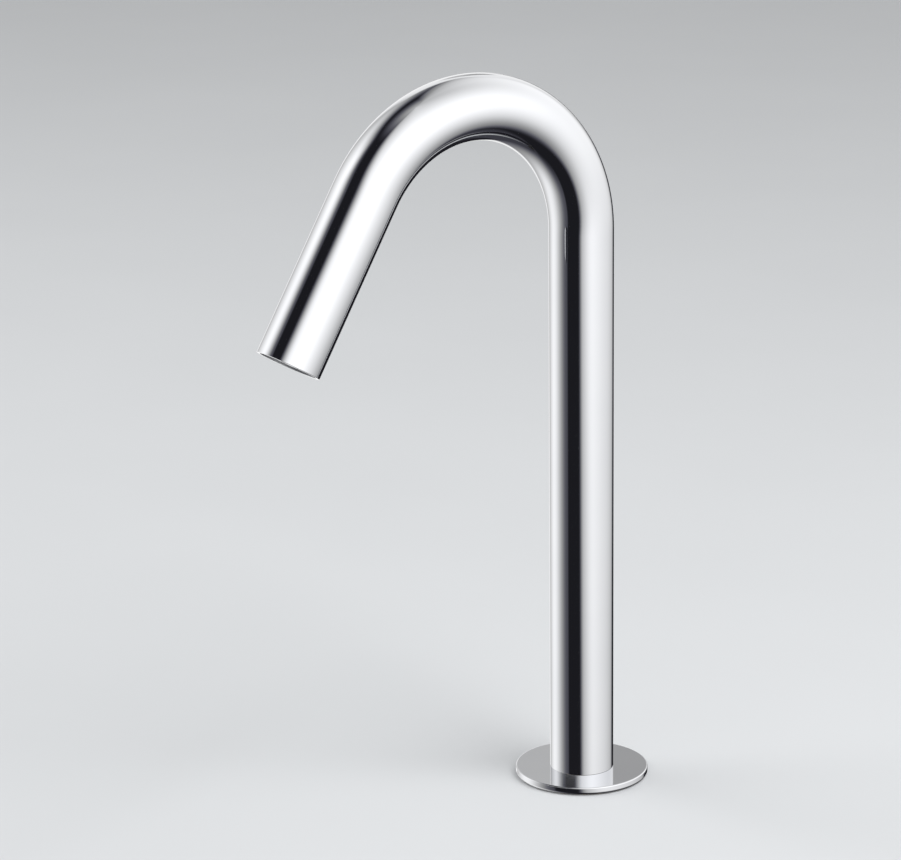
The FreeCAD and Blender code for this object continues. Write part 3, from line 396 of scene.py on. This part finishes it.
# Black nylon, moulded or drawn over the lead: deep grey with a satin skin.
nylon, tree, shader = new_material("nylon_black", IOR=1.53)
satin = add(tree, "ShaderNodeTexNoise",
            {"Vector": spot_of(tree), "Scale": per_mm(2.5), "Detail": 2.0}).outputs["Fac"]
vary(tree, shader, "Roughness", satin, 0.36, 0.5)
tint(tree, shader, satin, "#17181A", "#232427")
relief(tree, shader, satin, 0.01)

# Infrared-passing acrylic: black with a wine-red depth, polished like a lens.
window_acrylic, tree, shader = new_material("acrylic_infrared_window", IOR=1.49, Coat_Weight=0.6,
                                            Coat_Roughness=0.03)
depth = add(tree, "ShaderNodeTexNoise",
            {"Vector": spot_of(tree), "Scale": per_mm(0.5), "Detail": 2.0}).outputs["Fac"]
vary(tree, shader, "Roughness", depth, 0.05, 0.1)
tint(tree, shader, depth, "#120608", "#1E0A0E")

# Cast epoxy of the diodes: smoky and glossy, with faint flow marks.
diode_epoxy, tree, shader = new_material("epoxy_cast_smoky", IOR=1.55, Transmission_Weight=0.35)
flow = add(tree, "ShaderNodeTexNoise",
           {"Vector": spot_of(tree), "Scale": per_mm(1.2), "Detail": 3.0}).outputs["Fac"]
vary(tree, shader, "Roughness", flow, 0.04, 0.12)
tint(tree, shader, flow, "#2A3038", "#39434F")

# Glass-fibre laminate under green solder mask: the weave shows faintly through the lacquer.
laminate, tree, shader = new_material("glass_laminate_green", IOR=1.5, Coat_Weight=0.4)
weave = add(tree, "ShaderNodeTexBrick",
            {"Vector": spot_of(tree), "Scale": per_mm(1.5), "Mortar Size": 0.05,
             "Color1": linear("#1F6B3D"), "Color2": linear("#2B7F4A"), "Mortar": linear("#17512E")})
tree.links.new(weave.outputs["Color"], shader.inputs["Base Color"])
vary(tree, shader, "Roughness", weave.outputs["Fac"], 0.3, 0.45)
relief(tree, shader, weave.outputs["Fac"], 0.01)

# Poured potting resin: black, level and glossy, with a few small bubbles.
potting, tree, shader = new_material("potting_resin_poured", IOR=1.53)
bubbles = add(tree, "ShaderNodeTexVoronoi",
              {"Vector": spot_of(tree), "Scale": per_mm(0.9)}).outputs["Distance"]
vary(tree, shader, "Roughness", bubbles, 0.12, 0.24)
tint(tree, shader, bubbles, "#0E0F11", "#1A1B1E")
relief(tree, shader, bubbles, 0.03)

# Thin gold plate on turned pins: rich yellow, bright, with faint turning marks.
gilt, tree, shader = new_material("gold_plated_contact", Metallic=1.0)
marks = add(tree, "ShaderNodeTexNoise",
            {"Vector": spot_of(tree, (0.1, 0.1, 1)), "Scale": per_mm(6), "Detail": 2.0}).outputs["Fac"]
vary(tree, shader, "Roughness", marks, 0.14, 0.26)
tint(tree, shader, marks, "#D9A93F", "#E8C064")
relief(tree, shader, marks, 0.003)

# --- Finishes of the CAD nodes that are shown as they are ---

FINISH = {
    "polished_chrome": chrome,
    "turned_brass": brass,
    "plated_steel": steel,
    "black_rubber": rubber,
    "grey_moulding": abs_grey,
    "white_moulding": acetal,
    "hose_plastic": hose_pe,
    "black_moulding": nylon,
    "dark_window": window_acrylic,
    "diode_resin": diode_epoxy,
    "board_laminate": laminate,
    "potting_resin": potting,
    "gilt_contacts": gilt,
}

SLOT_OF = {
    "spout_tube": "polished_chrome",
    "base_flange": "polished_chrome",
    "aerator_housing": "polished_chrome",
    "tube_foot_bush": "turned_brass",
    "threaded_shank": "turned_brass",
    "mounting_nut": "turned_brass",
    "inlet_block": "turned_brass",
    "clamp_steel_washer": "plated_steel",
    "nozzle_set_screw": "plated_steel",
    "hose_ferrule_lower": "plated_steel",
    "hose_ferrule_upper": "plated_steel",
    "aerator_screen": "plated_steel",
    "foot_o_ring": "black_rubber",
    "deck_gasket": "black_rubber",
    "clamp_rubber_washer": "black_rubber",
    "inlet_o_ring": "black_rubber",
    "aerator_seal": "black_rubber",
    "flow_regulator_ring": "black_rubber",
    "window_gasket": "black_rubber",
    "nozzle_housing": "grey_moulding",
    "aerator_insert": "white_moulding",
    "aerator_jet_plate": "white_moulding",
    "water_hose": "hose_plastic",
    "sensor_carrier": "black_moulding",
    "lead_socket": "black_moulding",
    "sensor_cable": "black_moulding",
    "cable_boot": "black_moulding",
    "sensor_window": "dark_window",
    "ir_emitter": "diode_resin",
    "ir_receiver": "diode_resin",
    "sensor_board": "board_laminate",
    "sensor_potting": "potting_resin",
    "socket_pins": "gilt_contacts",
}

for node, slot in SLOT_OF.items():
    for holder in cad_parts[node].material_slots:
        holder.material = FINISH[slot]


def stands_for(piece, node, body="root"):
    """Gives the piece its node's finish and body, and puts it in the node's place."""
    if not piece.data.materials:
        piece.data.materials.append(FINISH[SLOT_OF[node]])
    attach(piece, body)
    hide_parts(node)
    return piece


# --- Spout tube: column, bend and spout as one polished tube ---

tube_edges = rounded([
    (TUBE_RADIUS, 0, 0.12), (TUBE_RADIUS, TUBE_RUN, 0.2),
    (TUBE_BORE, TUBE_RUN, 0.15), (TUBE_BORE, 0, 0.12),
])
tube_line = divided(tube_edges, TUBE_FACET)
tube = turned("spout_tube_skin", tube_line, along_tube)
tube.data.materials.append(chrome)
tube.data.materials.append(bore_metal)
# each of its faces starts at a point of the line, so the line says which faces are in the bore
in_bore = [abs(spot.x - TUBE_BORE) < 0.001 for spot in tube_line]
for face in tube.data.polygons:
    face.material_index = int(in_bore[face.index % len(tube_line)])
# the grub screw's hole runs across the spout, on the side towards the column
SCREW_HEIGHT, SCREW_HOLE, SCREW_POINT = 21.2, 1.45, 10.45
across = OUTLET @ Matrix.Translation((0, 0, SCREW_HEIGHT)) @ Matrix.Rotation(math.radians(-90), 4, "X")
carved(tube, cutter(SCREW_HOLE, TUBE_BORE - PAST, TUBE_RADIUS + PAST, across))
stands_for(tube, "spout_tube")

# --- Base flange: turned, with its upper edge rounded over and the gasket's recess below ---

FLANGE_RADIUS, FLANGE_BORE, FLANGE_LOW = 29.25, 12.5, 0.2
FOOT_SEAT, FOOT_RING_TOP = 13.45, 2.55
GASKET_BORE, GASKET_RADIUS, GASKET_TOP = 15.5, 27.0, 1.9
RECESS_GAP = 0.05
recess_bore, recess_radius = GASKET_BORE - RECESS_GAP, GASKET_RADIUS + RECESS_GAP
flange = turned("base_flange_skin", rounded([
    (FLANGE_BORE, FLANGE_LOW, 0.1), (recess_bore, FLANGE_LOW, 0.1), (recess_bore, GASKET_TOP, 0),
    (recess_radius, GASKET_TOP, 0), (recess_radius, FLANGE_LOW, 0.1),
    (FLANGE_RADIUS, FLANGE_LOW, 1.2), (FLANGE_RADIUS, FOOT_HEIGHT, 0.5),
    (FOOT_SEAT, FOOT_HEIGHT, 0.1), (FOOT_SEAT, FOOT_RING_TOP, 0), (FLANGE_BORE, FOOT_RING_TOP, 0),
], steps=8), steps=192)
# the photograph's foot shows no mirrored flange, so the tube sees neither it nor its gasket
flange.visible_glossy = False
stands_for(flange, "base_flange")

# --- Threaded shank: an M22 x 1.5 thread that runs out at both ends ---

PITCH, THREAD_DEPTH = 1.5, 0.92
# one turn of a thread's edge: how far up the pitch each point is, and how far out of the root
THREAD_SHAPE = [(0.0, 0.0), (0.125, 0.0), (0.4375, 1.0), (0.6875, 1.0)]


def thread_line(radius, depth, pitch, low, high, share):
    """A screw thread's edge, seen this share of a turn round it; both ends run out into the root."""
    line = []
    for turn in range(-1, math.ceil((high - low) / pitch) + 1):
        for part, rise in THREAD_SHAPE:
            z = low + pitch * (turn + part + share)
            run_out = min(1.0, max(0.0, min(z - low, high - z) / pitch))
            line.append((radius - depth * (1 - run_out * rise), min(high, max(low, z))))
    return line


def threaded(name, radius, depth, pitch, low, high, bore, place=upright, steps=72):
    """A threaded rod with a plain bore, or solid where the bore is 0."""
    points, faces = [], []
    for k in range(steps):
        line = thread_line(radius, depth, pitch, low, high, k / steps) + [(bore, high), (bore, low)]
        points += [place(r, z, 2 * math.pi * k / steps) for r, z in line]
    count = len(line)
    crest = count - 3
    closing = [crest, count - 2, count - 1] if bore else [crest, count - 1]
    for k in range(steps):
        a, b = k * count, ((k + 1) % steps) * count
        # the last edge joins the first one turn further up
        climb = len(THREAD_SHAPE) if k == steps - 1 else 0
        faces += [(a + i, a + i + 1, b + i + climb + 1, b + i + climb) for i in range(crest - climb)]
        faces += [(a + i, a + (i + 1) % count, b + (i + 1) % count, b + i) for i in closing]
    return piece_from(name, points, faces, MACHINED_SHARP)


shank = threaded("threaded_shank_skin", SHANK_RADIUS, THREAD_DEPTH, PITCH,
                 SHANK_LOW, SHANK_HIGH, SHANK_BORE)
stands_for(shank, "threaded_shank")

# --- Clamping set: rubber washer, steel washer and the hexagon nut with turned corners ---

WASHER_RADIUS, RUBBER_BORE, STEEL_BORE = 25.0, 11.5, 11.3
STEEL_LOW, RUBBER_LOW, RUBBER_HIGH = -25.0, -23.0, -20.0
rubber_washer = turned("clamp_rubber_washer_skin", rounded([
    (RUBBER_BORE, RUBBER_LOW, 0.3), (WASHER_RADIUS, RUBBER_LOW, 0.4),
    (WASHER_RADIUS, RUBBER_HIGH, 0.4), (RUBBER_BORE, RUBBER_HIGH, 0.3)]))
stands_for(rubber_washer, "clamp_rubber_washer", "clamp_washers")
steel_washer = turned("clamp_steel_washer_skin", rounded([
    (STEEL_BORE, STEEL_LOW, 0.15), (WASHER_RADIUS, STEEL_LOW, 0.15),
    (WASHER_RADIUS, RUBBER_LOW, 0.4), (STEEL_BORE, RUBBER_LOW, 0.3)]))
stands_for(steel_washer, "clamp_steel_washer", "clamp_washers")

NUT_BORE, NUT_MOUTH, NUT_MOUTH_DEPTH = SHANK_RADIUS + 0.06, SHANK_RADIUS + 0.5, 0.6
NUT_FACE = NUT_FLATS / 2 - 0.25
CORNER_CONE = math.radians(30)
NUT_STEPS = 96


def hexagon_ring(height, inward):
    """One ring round the hexagon, whose corners a cone has turned down. inward is 1 at the nut's
    lower face and -1 at its upper one."""
    ring = []
    for k in range(NUT_STEPS):
        angle = 2 * math.pi * k / NUT_STEPS
        from_flat = (angle + math.pi / 6) % (math.pi / 3) - math.pi / 6
        reach = NUT_FLATS / 2 / math.cos(from_flat)
        drop = (reach - NUT_FACE) * math.tan(CORNER_CONE)
        ring.append(upright(reach, height + inward * drop, angle))
    return ring


def round_ring(radius, height):
    return [upright(radius, height, 2 * math.pi * k / NUT_STEPS) for k in range(NUT_STEPS)]


nut = lofted("mounting_nut_skin", [
    round_ring(NUT_BORE, NUT_LOW + NUT_MOUTH_DEPTH), round_ring(NUT_MOUTH, NUT_LOW),
    round_ring(NUT_FACE, NUT_LOW), hexagon_ring(NUT_LOW, 1),
    hexagon_ring(NUT_HIGH, -1), round_ring(NUT_FACE, NUT_HIGH),
    round_ring(NUT_MOUTH, NUT_HIGH), round_ring(NUT_BORE, NUT_HIGH - NUT_MOUTH_DEPTH),
], MACHINED_SHARP)
stands_for(nut, "mounting_nut", "mounting_nut")

# --- Inlet block: head with two spanner flats, plug with a ring groove, M10 x 1 water inlet ---

HEAD_LOW, PLUG_HIGH = -65.0, -47.0
HEAD_RADIUS, PLUG_RADIUS, GROOVE_RADIUS = 10.0, 8.45, 7.55
HEAD_FLATS = 17.0
RING_LOW, RING_HIGH = -52.5, -51.5
PORT_X, SOCKET_X, LEAD_X = -4.6, 3.6, 2.9
PORT_RADIUS, PORT_THREAD, PORT_PITCH, PORT_DEPTH, PORT_MOUTH = 4.95, 0.5, 1.0, 8.0, 4.5
SOCKET_HOLE, SOCKET_DEPTH, LEAD_HOLE = 2.9, 8.5, 1.65
# the passages start inside the wider holes below them
WATER_WAY_LOW, LEAD_WAY_LOW = HEAD_LOW + 6, HEAD_LOW + 7


def slab(side):
    """A block that mills one spanner flat."""
    near, far, end = side * HEAD_FLATS / 2, side * 2 * HEAD_RADIUS, HEAD_RADIUS + PAST
    outline = [(-end, near), (end, near), (end, far), (-end, far)]
    return plate("slab", [outline[::side]], HEAD_LOW - PAST, SHANK_LOW, 0)


inlet_block = carved(
    turned("inlet_block_skin", rounded([
        (0, HEAD_LOW, 0), (HEAD_RADIUS, HEAD_LOW, 0.5), (HEAD_RADIUS, SHANK_LOW, 0.3),
        (PLUG_RADIUS, SHANK_LOW, 0), (PLUG_RADIUS, RING_LOW, 0), (GROOVE_RADIUS, RING_LOW, 0.1),
        (GROOVE_RADIUS, RING_HIGH, 0.1), (PLUG_RADIUS, RING_HIGH, 0), (PLUG_RADIUS, PLUG_HIGH, 0.4),
        (0, PLUG_HIGH, 0)], steps=1)),
    slab(1), slab(-1),
    threaded("port_tap", PORT_RADIUS, PORT_THREAD, PORT_PITCH,
             HEAD_LOW - PAST, HEAD_LOW + PORT_DEPTH, 0, within(shifted(PORT_X, 0))),
    cutter(PORT_MOUTH, HEAD_LOW - PAST, HEAD_LOW + PAST, shifted(PORT_X, 0), mouth=HEAD_LOW, flare=0.6),
    cutter(NIPPLE_BORE, WATER_WAY_LOW, PLUG_HIGH + PAST, shifted(HOSE_X, 0)),
    cutter(SOCKET_HOLE, HEAD_LOW - PAST, HEAD_LOW + SOCKET_DEPTH, shifted(SOCKET_X, 0),
           mouth=HEAD_LOW, flare=0.3),
    cutter(LEAD_HOLE, LEAD_WAY_LOW, PLUG_HIGH + PAST, shifted(LEAD_X, 0)))
stands_for(inlet_block, "inlet_block")

# --- Deck gasket: in the flange's recess, standing a little proud of it ---

gasket = turned("deck_gasket_skin", rounded([
    (GASKET_BORE, 0, 0.2), (GASKET_RADIUS, 0, 0.3),
    (GASKET_RADIUS, GASKET_TOP, 0.2), (GASKET_BORE, GASKET_TOP, 0.2)]))
gasket.visible_glossy = False
stands_for(gasket, "deck_gasket")

# --- Outlet: sleeve with key notches, honeycomb, and the sensor's window ---

# heights run up the spout from the tube's end
FACE = 0.8
AERATOR_Y, SENSOR_Y = 3.2, -8.7
LIP_RADIUS, LIP_BORE, LIP_TOP = 8.25, 6.75, FACE + 0.8
NOTCH_DEPTH, NOTCH_WIDTH, NOTCH_COUNT = 0.6, 1.6, 8
SLEEVE_RADIUS, SLEEVE_BORE, SLEEVE_TOP = 8.2, 7.35, 9.5
HONEYCOMB_RADIUS, HONEYCOMB_TOP = 7.25, 3.8
CELL_FLATS, CELL_PITCH, CELL_ROUNDS = 1.5, 2.0, 3
SLOT_HALF, SLOT_RADIUS = 2.9, 2.1
WINDOW_RADIUS, WINDOW_TOP = 2.55, 2.0
LEDGE_RADIUS, LEDGE_TOP = 2.6, 2.4
to_aerator, to_sensor = OUTLET @ shifted(0, AERATOR_Y), OUTLET @ shifted(0, SENSOR_Y)


def notched(radius, depth, width, count, steps=12):
    """A circle with key notches cut into it outwards."""
    half = width / 2 / radius
    spots = []
    for k in range(count):
        middle = 2 * math.pi * k / count
        spots += [(radius, middle - half), (radius + depth, middle - half),
                  (radius + depth, middle + half), (radius, middle + half)]
        land = 2 * math.pi / count - 2 * half
        spots += [(radius, middle + half + land * j / steps) for j in range(1, steps)]
    return [(r * math.cos(a), r * math.sin(a)) for r, a in spots]


lip = plate("aerator_lip", [circle(LIP_RADIUS), notched(LIP_BORE, NOTCH_DEPTH, NOTCH_WIDTH, NOTCH_COUNT)],
            FACE, LIP_TOP, 0.12, to_aerator)
sleeve = turned("aerator_sleeve", rounded([
    (SLEEVE_BORE, LIP_TOP, 0), (SLEEVE_RADIUS, LIP_TOP, 0),
    (SLEEVE_RADIUS, SLEEVE_TOP, 0.2), (SLEEVE_BORE, SLEEVE_TOP, 0.1)]),
    within(to_aerator), steps=96)
stands_for(lip, "aerator_housing")
stands_for(sleeve, "aerator_housing")


def cell(x, y):
    """A hexagonal cell's outline."""
    reach = CELL_FLATS / 2 / math.cos(math.pi / 6)
    turns = [math.radians(60 * k + 30) for k in range(6)]
    return [(x + reach * math.cos(a), y + reach * math.sin(a)) for a in turns]


cells = []
for column in range(-CELL_ROUNDS, CELL_ROUNDS + 1):
    for row in range(-CELL_ROUNDS, CELL_ROUNDS + 1):
        if abs(column + row) <= CELL_ROUNDS:
            cells.append(cell(CELL_PITCH * (column + row / 2), CELL_PITCH * row * math.sqrt(3) / 2))
honeycomb = plate("aerator_honeycomb", [circle(HONEYCOMB_RADIUS)] + cells, LIP_TOP, HONEYCOMB_TOP, 0.07,
                  to_aerator)
stands_for(honeycomb, "aerator_insert")

window = plate("sensor_window_lens", [pill(SLOT_HALF, WINDOW_RADIUS)], FACE, WINDOW_TOP, 0.3, to_sensor)
stands_for(window, "sensor_window")

# Outlet block: turned, bored for the aerator, its chamber and the water way, slotted for the
# sensor with a ledge for its window, and dimpled for the grub screw.
BLOCK_RADIUS, BLOCK_BACK = 12.4, 25.8
AERATOR_HOLE, AERATOR_DEPTH, CHAMBER_RADIUS, CHAMBER_TOP = 8.3, 11.0, 6.5, 17.0
to_hose = OUTLET @ shifted(HOSE_X, 0)
outlet_block = carved(
    turned("nozzle_housing_skin", rounded([
        (0, FACE, 0), (BLOCK_RADIUS, FACE, 0.2), (BLOCK_RADIUS, BLOCK_BACK, 0.5), (0, BLOCK_BACK, 0)],
        steps=1), within(OUTLET)),
    cutter(AERATOR_HOLE, -PAST, AERATOR_DEPTH, to_aerator, mouth=FACE),
    cutter(CHAMBER_RADIUS, AERATOR_DEPTH - PAST, CHAMBER_TOP, to_aerator),
    cutter(NIPPLE_BORE, AERATOR_DEPTH - 2 * PAST, BLOCK_BACK + PAST, to_hose),
    cutter(SLOT_RADIUS, PAST, BLOCK_BACK + PAST, to_sensor, SLOT_HALF),
    cutter(LEDGE_RADIUS, -PAST, LEDGE_TOP, to_sensor, SLOT_HALF, mouth=FACE),
    cutter(SCREW_HOLE, SCREW_POINT, TUBE_RADIUS, across))
stands_for(outlet_block, "nozzle_housing")

# Its hose nipple, with two barbs.
BARBS, BARB_NECK = (4.0, 7.0), NIPPLE_RADIUS - 0.3
nipple_line = [(NIPPLE_BORE, BLOCK_BACK, 0), (NIPPLE_RADIUS, BLOCK_BACK, 0)]
for barb in BARBS:
    nipple_line += [(NIPPLE_RADIUS, BLOCK_BACK + barb, 0.05), (BARB_NECK, BLOCK_BACK + barb, 0.05)]
nipple_end = BLOCK_BACK + NIPPLE_LENGTH
nipple_line += [(BARB_NECK, nipple_end, 0.1), (NIPPLE_BORE, nipple_end, 0.1)]
nipple = turned("nozzle_nipple", rounded(nipple_line), within(to_hose), steps=48)
stands_for(nipple, "nozzle_housing")

# --- Studio: a pale floor that is the deck, soft lamps, and what the chrome mirrors ---

# in metres: half the floor's width, and how far it lies below the gasket
FLOOR_REACH, FLOOR_DROP = 14.0, 0.0002
floor_mesh = bpy.data.meshes.new("studio_floor")
corners = [(side_x * FLOOR_REACH, side_y * FLOOR_REACH, -FLOOR_DROP)
           for side_x, side_y in ((-1, -1), (1, -1), (1, 1), (-1, 1))]
floor_mesh.from_pydata(corners, [], [(0, 1, 2, 3)])
floor = bpy.data.objects.new("studio_floor", floor_mesh)
bpy.context.scene.collection.objects.link(floor)
floor.visible_glossy = False

# Matt paper: pale, with faint wide clouds. From below it is clear, so that the tap's fixing shows.
paper, tree, shader = new_material("studio_paper", Roughness=0.95, Specular_IOR_Level=0.1)
clouds = add(tree, "ShaderNodeTexNoise",
             {"Vector": spot_of(tree), "Scale": per_mm(0.006), "Detail": 2.0}).outputs["Fac"]
tint(tree, shader, clouds, "#D0D2D4", "#D4D6D8")
underside = add(tree, "ShaderNodeNewGeometry").outputs["Backfacing"]
clear = add(tree, "ShaderNodeBsdfTransparent")
both = add(tree, "ShaderNodeMixShader", {0: underside, 1: shader.outputs[0], 2: clear.outputs[0]})
tree.links.new(both.outputs[0], tree.nodes["Material Output"].inputs["Surface"])
floor_mesh.materials.append(paper)

TAP_MIDDLE = Vector((0, -0.05, 0.15))


def lamp(name, azimuth, elevation, distance, size, power):
    """A soft square lamp aimed at the tap's middle, in degrees, metres and watts."""
    light = bpy.data.lights.new(name, "AREA")
    light.shape, light.size, light.energy = "SQUARE", size, power
    holder = bpy.data.objects.new(name, light)
    bpy.context.scene.collection.objects.link(holder)
    a, e = math.radians(azimuth), math.radians(elevation)
    back = Vector((math.sin(a) * math.cos(e), -math.cos(a) * math.cos(e), math.sin(e)))
    holder.location = TAP_MIDDLE + back * distance
    holder.rotation_euler = (-back).to_track_quat("-Z", "Y").to_euler()
    holder.visible_glossy = False
    return holder


lamp("key_softbox", 112, 48, 1.8, 1.5, 26)
lamp("fill_softbox", -55, 40, 1.9, 1.4, 12)

world = bpy.data.worlds.new("studio")
bpy.context.scene.world = world
world.use_nodes = True
# its direct light is even, so aiming rays at its bright parts would only add noise
world.cycles.sampling_method = "NONE"
tree = world.node_tree
tree.nodes.clear()


def sums(kind, *feeds):
    """A Math node's result."""
    return add(tree, "ShaderNodeMath", dict(enumerate(feeds)), operation=kind).outputs[0]


def fade(feed, dark, light, low=0.0, high=1.0):
    """A soft edge: low where the feed is at dark, high where it is at light."""
    return add(tree, "ShaderNodeMapRange",
               {"Value": feed, "From Min": dark, "From Max": light, "To Min": low, "To Max": high},
               interpolation_type="SMOOTHSTEP").outputs["Result"]


def hypotenuse(one, other):
    return sums("SQRT", sums("ADD", sums("POWER", one, 2.0), sums("POWER", other, 2.0)))


def product(*factors):
    result = factors[0]
    for factor in factors[1:]:
        result = sums("MULTIPLY", result, factor)
    return result


def two_slopes(feed, dark, light, far_light, share):
    """A soft edge that first rises fast, then slowly."""
    return sums("ADD", fade(feed, dark, light, 0.0, share), fade(feed, dark, far_light, 0.0, 1.0 - share))


def brightest(*lights):
    result = lights[0]
    for light in lights[1:]:
        result = sums("MAXIMUM", result, light)
    return result


# What the chrome mirrors, by direction, all in degrees: turn is 0 towards the tap's front right
# corner and grows to the right, and lift is the height above the horizon.
FRONT_CORNER = math.radians(52)
toward = add(tree, "ShaderNodeVectorRotate",
             {"Vector": add(tree, "ShaderNodeTexCoord").outputs["Generated"], "Angle": -FRONT_CORNER},
             rotation_type="Z_AXIS").outputs[0]
x, y, z = add(tree, "ShaderNodeSeparateXYZ", {0: toward}).outputs
turn = sums("DEGREES", sums("ARCTAN2", x, sums("MULTIPLY", y, -1.0)))
lift = sums("DEGREES", sums("ARCSINE", z))
high = sums("MAXIMUM", lift, 0.0)
# the same turn, counted on past 180 degrees behind the tap
onward = sums("ADD", turn, sums("MULTIPLY", sums("LESS_THAN", turn, -100.0), 360.0))

# Large softbox on the right: it starts at the outer side of a dark arch, its lower edge climbs
# to both sides, and it weakens towards its top, its far end and the floor.
ARCH_TURN, ARCH_WIDTH, ARCH_HEIGHT = -79.4, 60.0, 180.0
BOX_TURN, BOX_LIFT, BOX_WIDTH, BOX_HEIGHT = 64.4, 60.0, 115.6, 162.0
CLIMB_RATE = 0.0069
beyond_arch = hypotenuse(sums("DIVIDE", sums("SUBTRACT", turn, ARCH_TURN), ARCH_WIDTH),
                         sums("DIVIDE", high, ARCH_HEIGHT))
past_middle = sums("MAXIMUM", sums("SUBTRACT", onward, BOX_TURN), 0.0)
climb = sums("MULTIPLY", sums("POWER", past_middle, 2.0), CLIMB_RATE)
too_low = sums("MAXIMUM", sums("ADD", sums("SUBTRACT", BOX_LIFT, lift), climb), 0.0)
below = sums("DIVIDE", too_low, BOX_HEIGHT)
short_of_middle = sums("MAXIMUM", sums("SUBTRACT", BOX_TURN, onward), 0.0)
beside = product(sums("DIVIDE", short_of_middle, BOX_WIDTH), fade(lift, 23.9, 0.0))
right_box = product(
    two_slopes(beyond_arch, 0.8375, 1.384, 2.09, 0.566),
    two_slopes(hypotenuse(below, beside), 0.799, 0.678, 0.501, 0.575),
    fade(lift, 92.6, 19.7, 0.461, 1.0), fade(lift, -83.0, 20.6),
    fade(onward, 126.7, 20.0, 0.723, 1.0), fade(onward, 232.6, 143.3))

# Smaller softbox on the left, under the arch: it fades towards the front, where a weak strip
# ends it sharply, and towards the floor.
LEAN_FROM, NEAR_LEAN, FAR_LEAN = -18.0, 0.309, 0.351
NEAR_TURN, FAR_TURN, STRIP_WIDTH, STRIP_LEVEL = -46.0, -128.0, 6.0, 0.06
INNER_ARCH_TURN, INNER_ARCH_WIDTH, INNER_ARCH_HEIGHT = -112.3, 170.0, 40.4
leaning = sums("SUBTRACT", lift, LEAN_FROM)
near_end = sums("SUBTRACT", NEAR_TURN, sums("MULTIPLY", leaning, NEAR_LEAN))
strip_end = sums("SUBTRACT", near_end, STRIP_WIDTH)
far_end = sums("ADD", FAR_TURN, sums("MULTIPLY", leaning, FAR_LEAN))
under_arch = hypotenuse(sums("DIVIDE", sums("SUBTRACT", turn, INNER_ARCH_TURN), INNER_ARCH_WIDTH),
                        sums("DIVIDE", high, INNER_ARCH_HEIGHT))
strip = fade(turn, near_end, strip_end, 0.0, STRIP_LEVEL)
left_box = product(
    sums("ADD", strip, fade(turn, strip_end, far_end, 0.0, 1.0 - STRIP_LEVEL)),
    fade(under_arch, 1.564, 0.815), fade(turn, -197.7, -88.75), fade(lift, -87.9, -40.9, 0.036, 0.865))

# Wall behind the tap, lower on the left, with a grey panel that the flange's top mirrors.
LEFT_DROP, WALL_LEVEL = 35.0, 0.58
PANEL_LIFT, PANEL_LEFT, PANEL_RIGHT_LOSS = 21.0, 0.31, 0.08
around = sums("ABSOLUTE", turn)
lowered = sums("ADD", lift, sums("MULTIPLY", sums("LESS_THAN", turn, 0.0), LEFT_DROP))
from_panel = hypotenuse(sums("SUBTRACT", 180.0, around), sums("SUBTRACT", lift, PANEL_LIFT))
panel_level = sums("SUBTRACT", PANEL_LEFT,
                   sums("MULTIPLY", sums("GREATER_THAN", turn, 0.0), PANEL_RIGHT_LOSS))
wall = product(fade(around, 143.0, 165.0), fade(lowered, -8.0, 8.0), fade(lift, 44.0, 33.0),
               fade(from_panel, 5.0, 9.0, panel_level, WALL_LEVEL))

# Light that the floor behind throws back, mirrored in the bend's outer side.
GLOW_LEVEL = 0.03
glow = product(fade(onward, 95.0, 125.0, 0.0, GLOW_LEVEL), fade(lift, -38.0, -46.0),
               fade(onward, 205.0, 185.0))

# Low strip light across the front, which the flange's top mirrors when it is seen from behind.
FRONT_LEVEL = 0.5
front_strip = product(fade(lift, 3.0, 6.0), fade(lift, 20.7, 19.9), fade(turn, -120.0, -100.0),
                      fade(turn, 20.0, 0.0, 0.0, FRONT_LEVEL))

CEILING_LEVEL = 0.5125
ceiling = fade(lift, 61.6, 110.0, 0.0, CEILING_LEVEL)

# Strengths: what chrome mirrors from a full lamp and from none, what lights dull surfaces, and
# the backdrop.
FULL, UNLIT, AMBIENT, BACKDROP = 1.889, 0.0192, 0.55, 0.62
lights = brightest(right_box, left_box, wall, glow, front_strip, ceiling)
mirrored = sums("ADD", sums("MULTIPLY", lights, FULL), UNLIT)
rays = add(tree, "ShaderNodeLightPath")
plain = sums("ADD", sums("MULTIPLY", rays.outputs["Is Camera Ray"], BACKDROP - AMBIENT), AMBIENT)
shiny = sums("MAXIMUM", rays.outputs["Is Glossy Ray"], rays.outputs["Is Transmission Ray"])
level = add(tree, "ShaderNodeMix", {0: shiny, 2: plain, 3: mirrored}).outputs[0]
# the dark parts of the studio are a little blue
blueness = product(shiny, fade(mirrored, 0.4, 0.02))
hue = add(tree, "ShaderNodeMix", {0: blueness, 6: linear("#FFFFFF"), 7: linear("#E8E8FF")},
          data_type="RGBA").outputs[2]
sky = add(tree, "ShaderNodeBackground", {"Color": hue, "Strength": level})
out = add(tree, "ShaderNodeOutputWorld", {"Surface": sky.outputs[0]})

# --- Camera at the photograph's place, in metres and degrees ---

EYE = Vector((1.2372, -0.9633, 0.6117))
HEADING, PITCH_DOWN, ROLL = 144.171, 16.115, -0.626
LENS, SENSOR_WIDTH = 150.2, 36.0
NEAREST, FARTHEST = 0.05, 60.0
camera_data = bpy.data.cameras.new("camera")
camera_data.lens, camera_data.sensor_width = LENS, SENSOR_WIDTH
camera_data.clip_start, camera_data.clip_end = NEAREST, FARTHEST
camera = bpy.data.objects.new("camera", camera_data)
bpy.context.scene.collection.objects.link(camera)
camera.matrix_world = (Matrix.Translation(EYE) @ Matrix.Rotation(math.radians(HEADING - 90), 4, "Z")
                       @ Matrix.Rotation(math.radians(90 - PITCH_DOWN), 4, "X")
                       @ Matrix.Rotation(math.radians(ROLL), 4, "Z"))
bpy.context.scene.camera = camera
bpy.context.scene.view_settings.view_transform = "Standard"
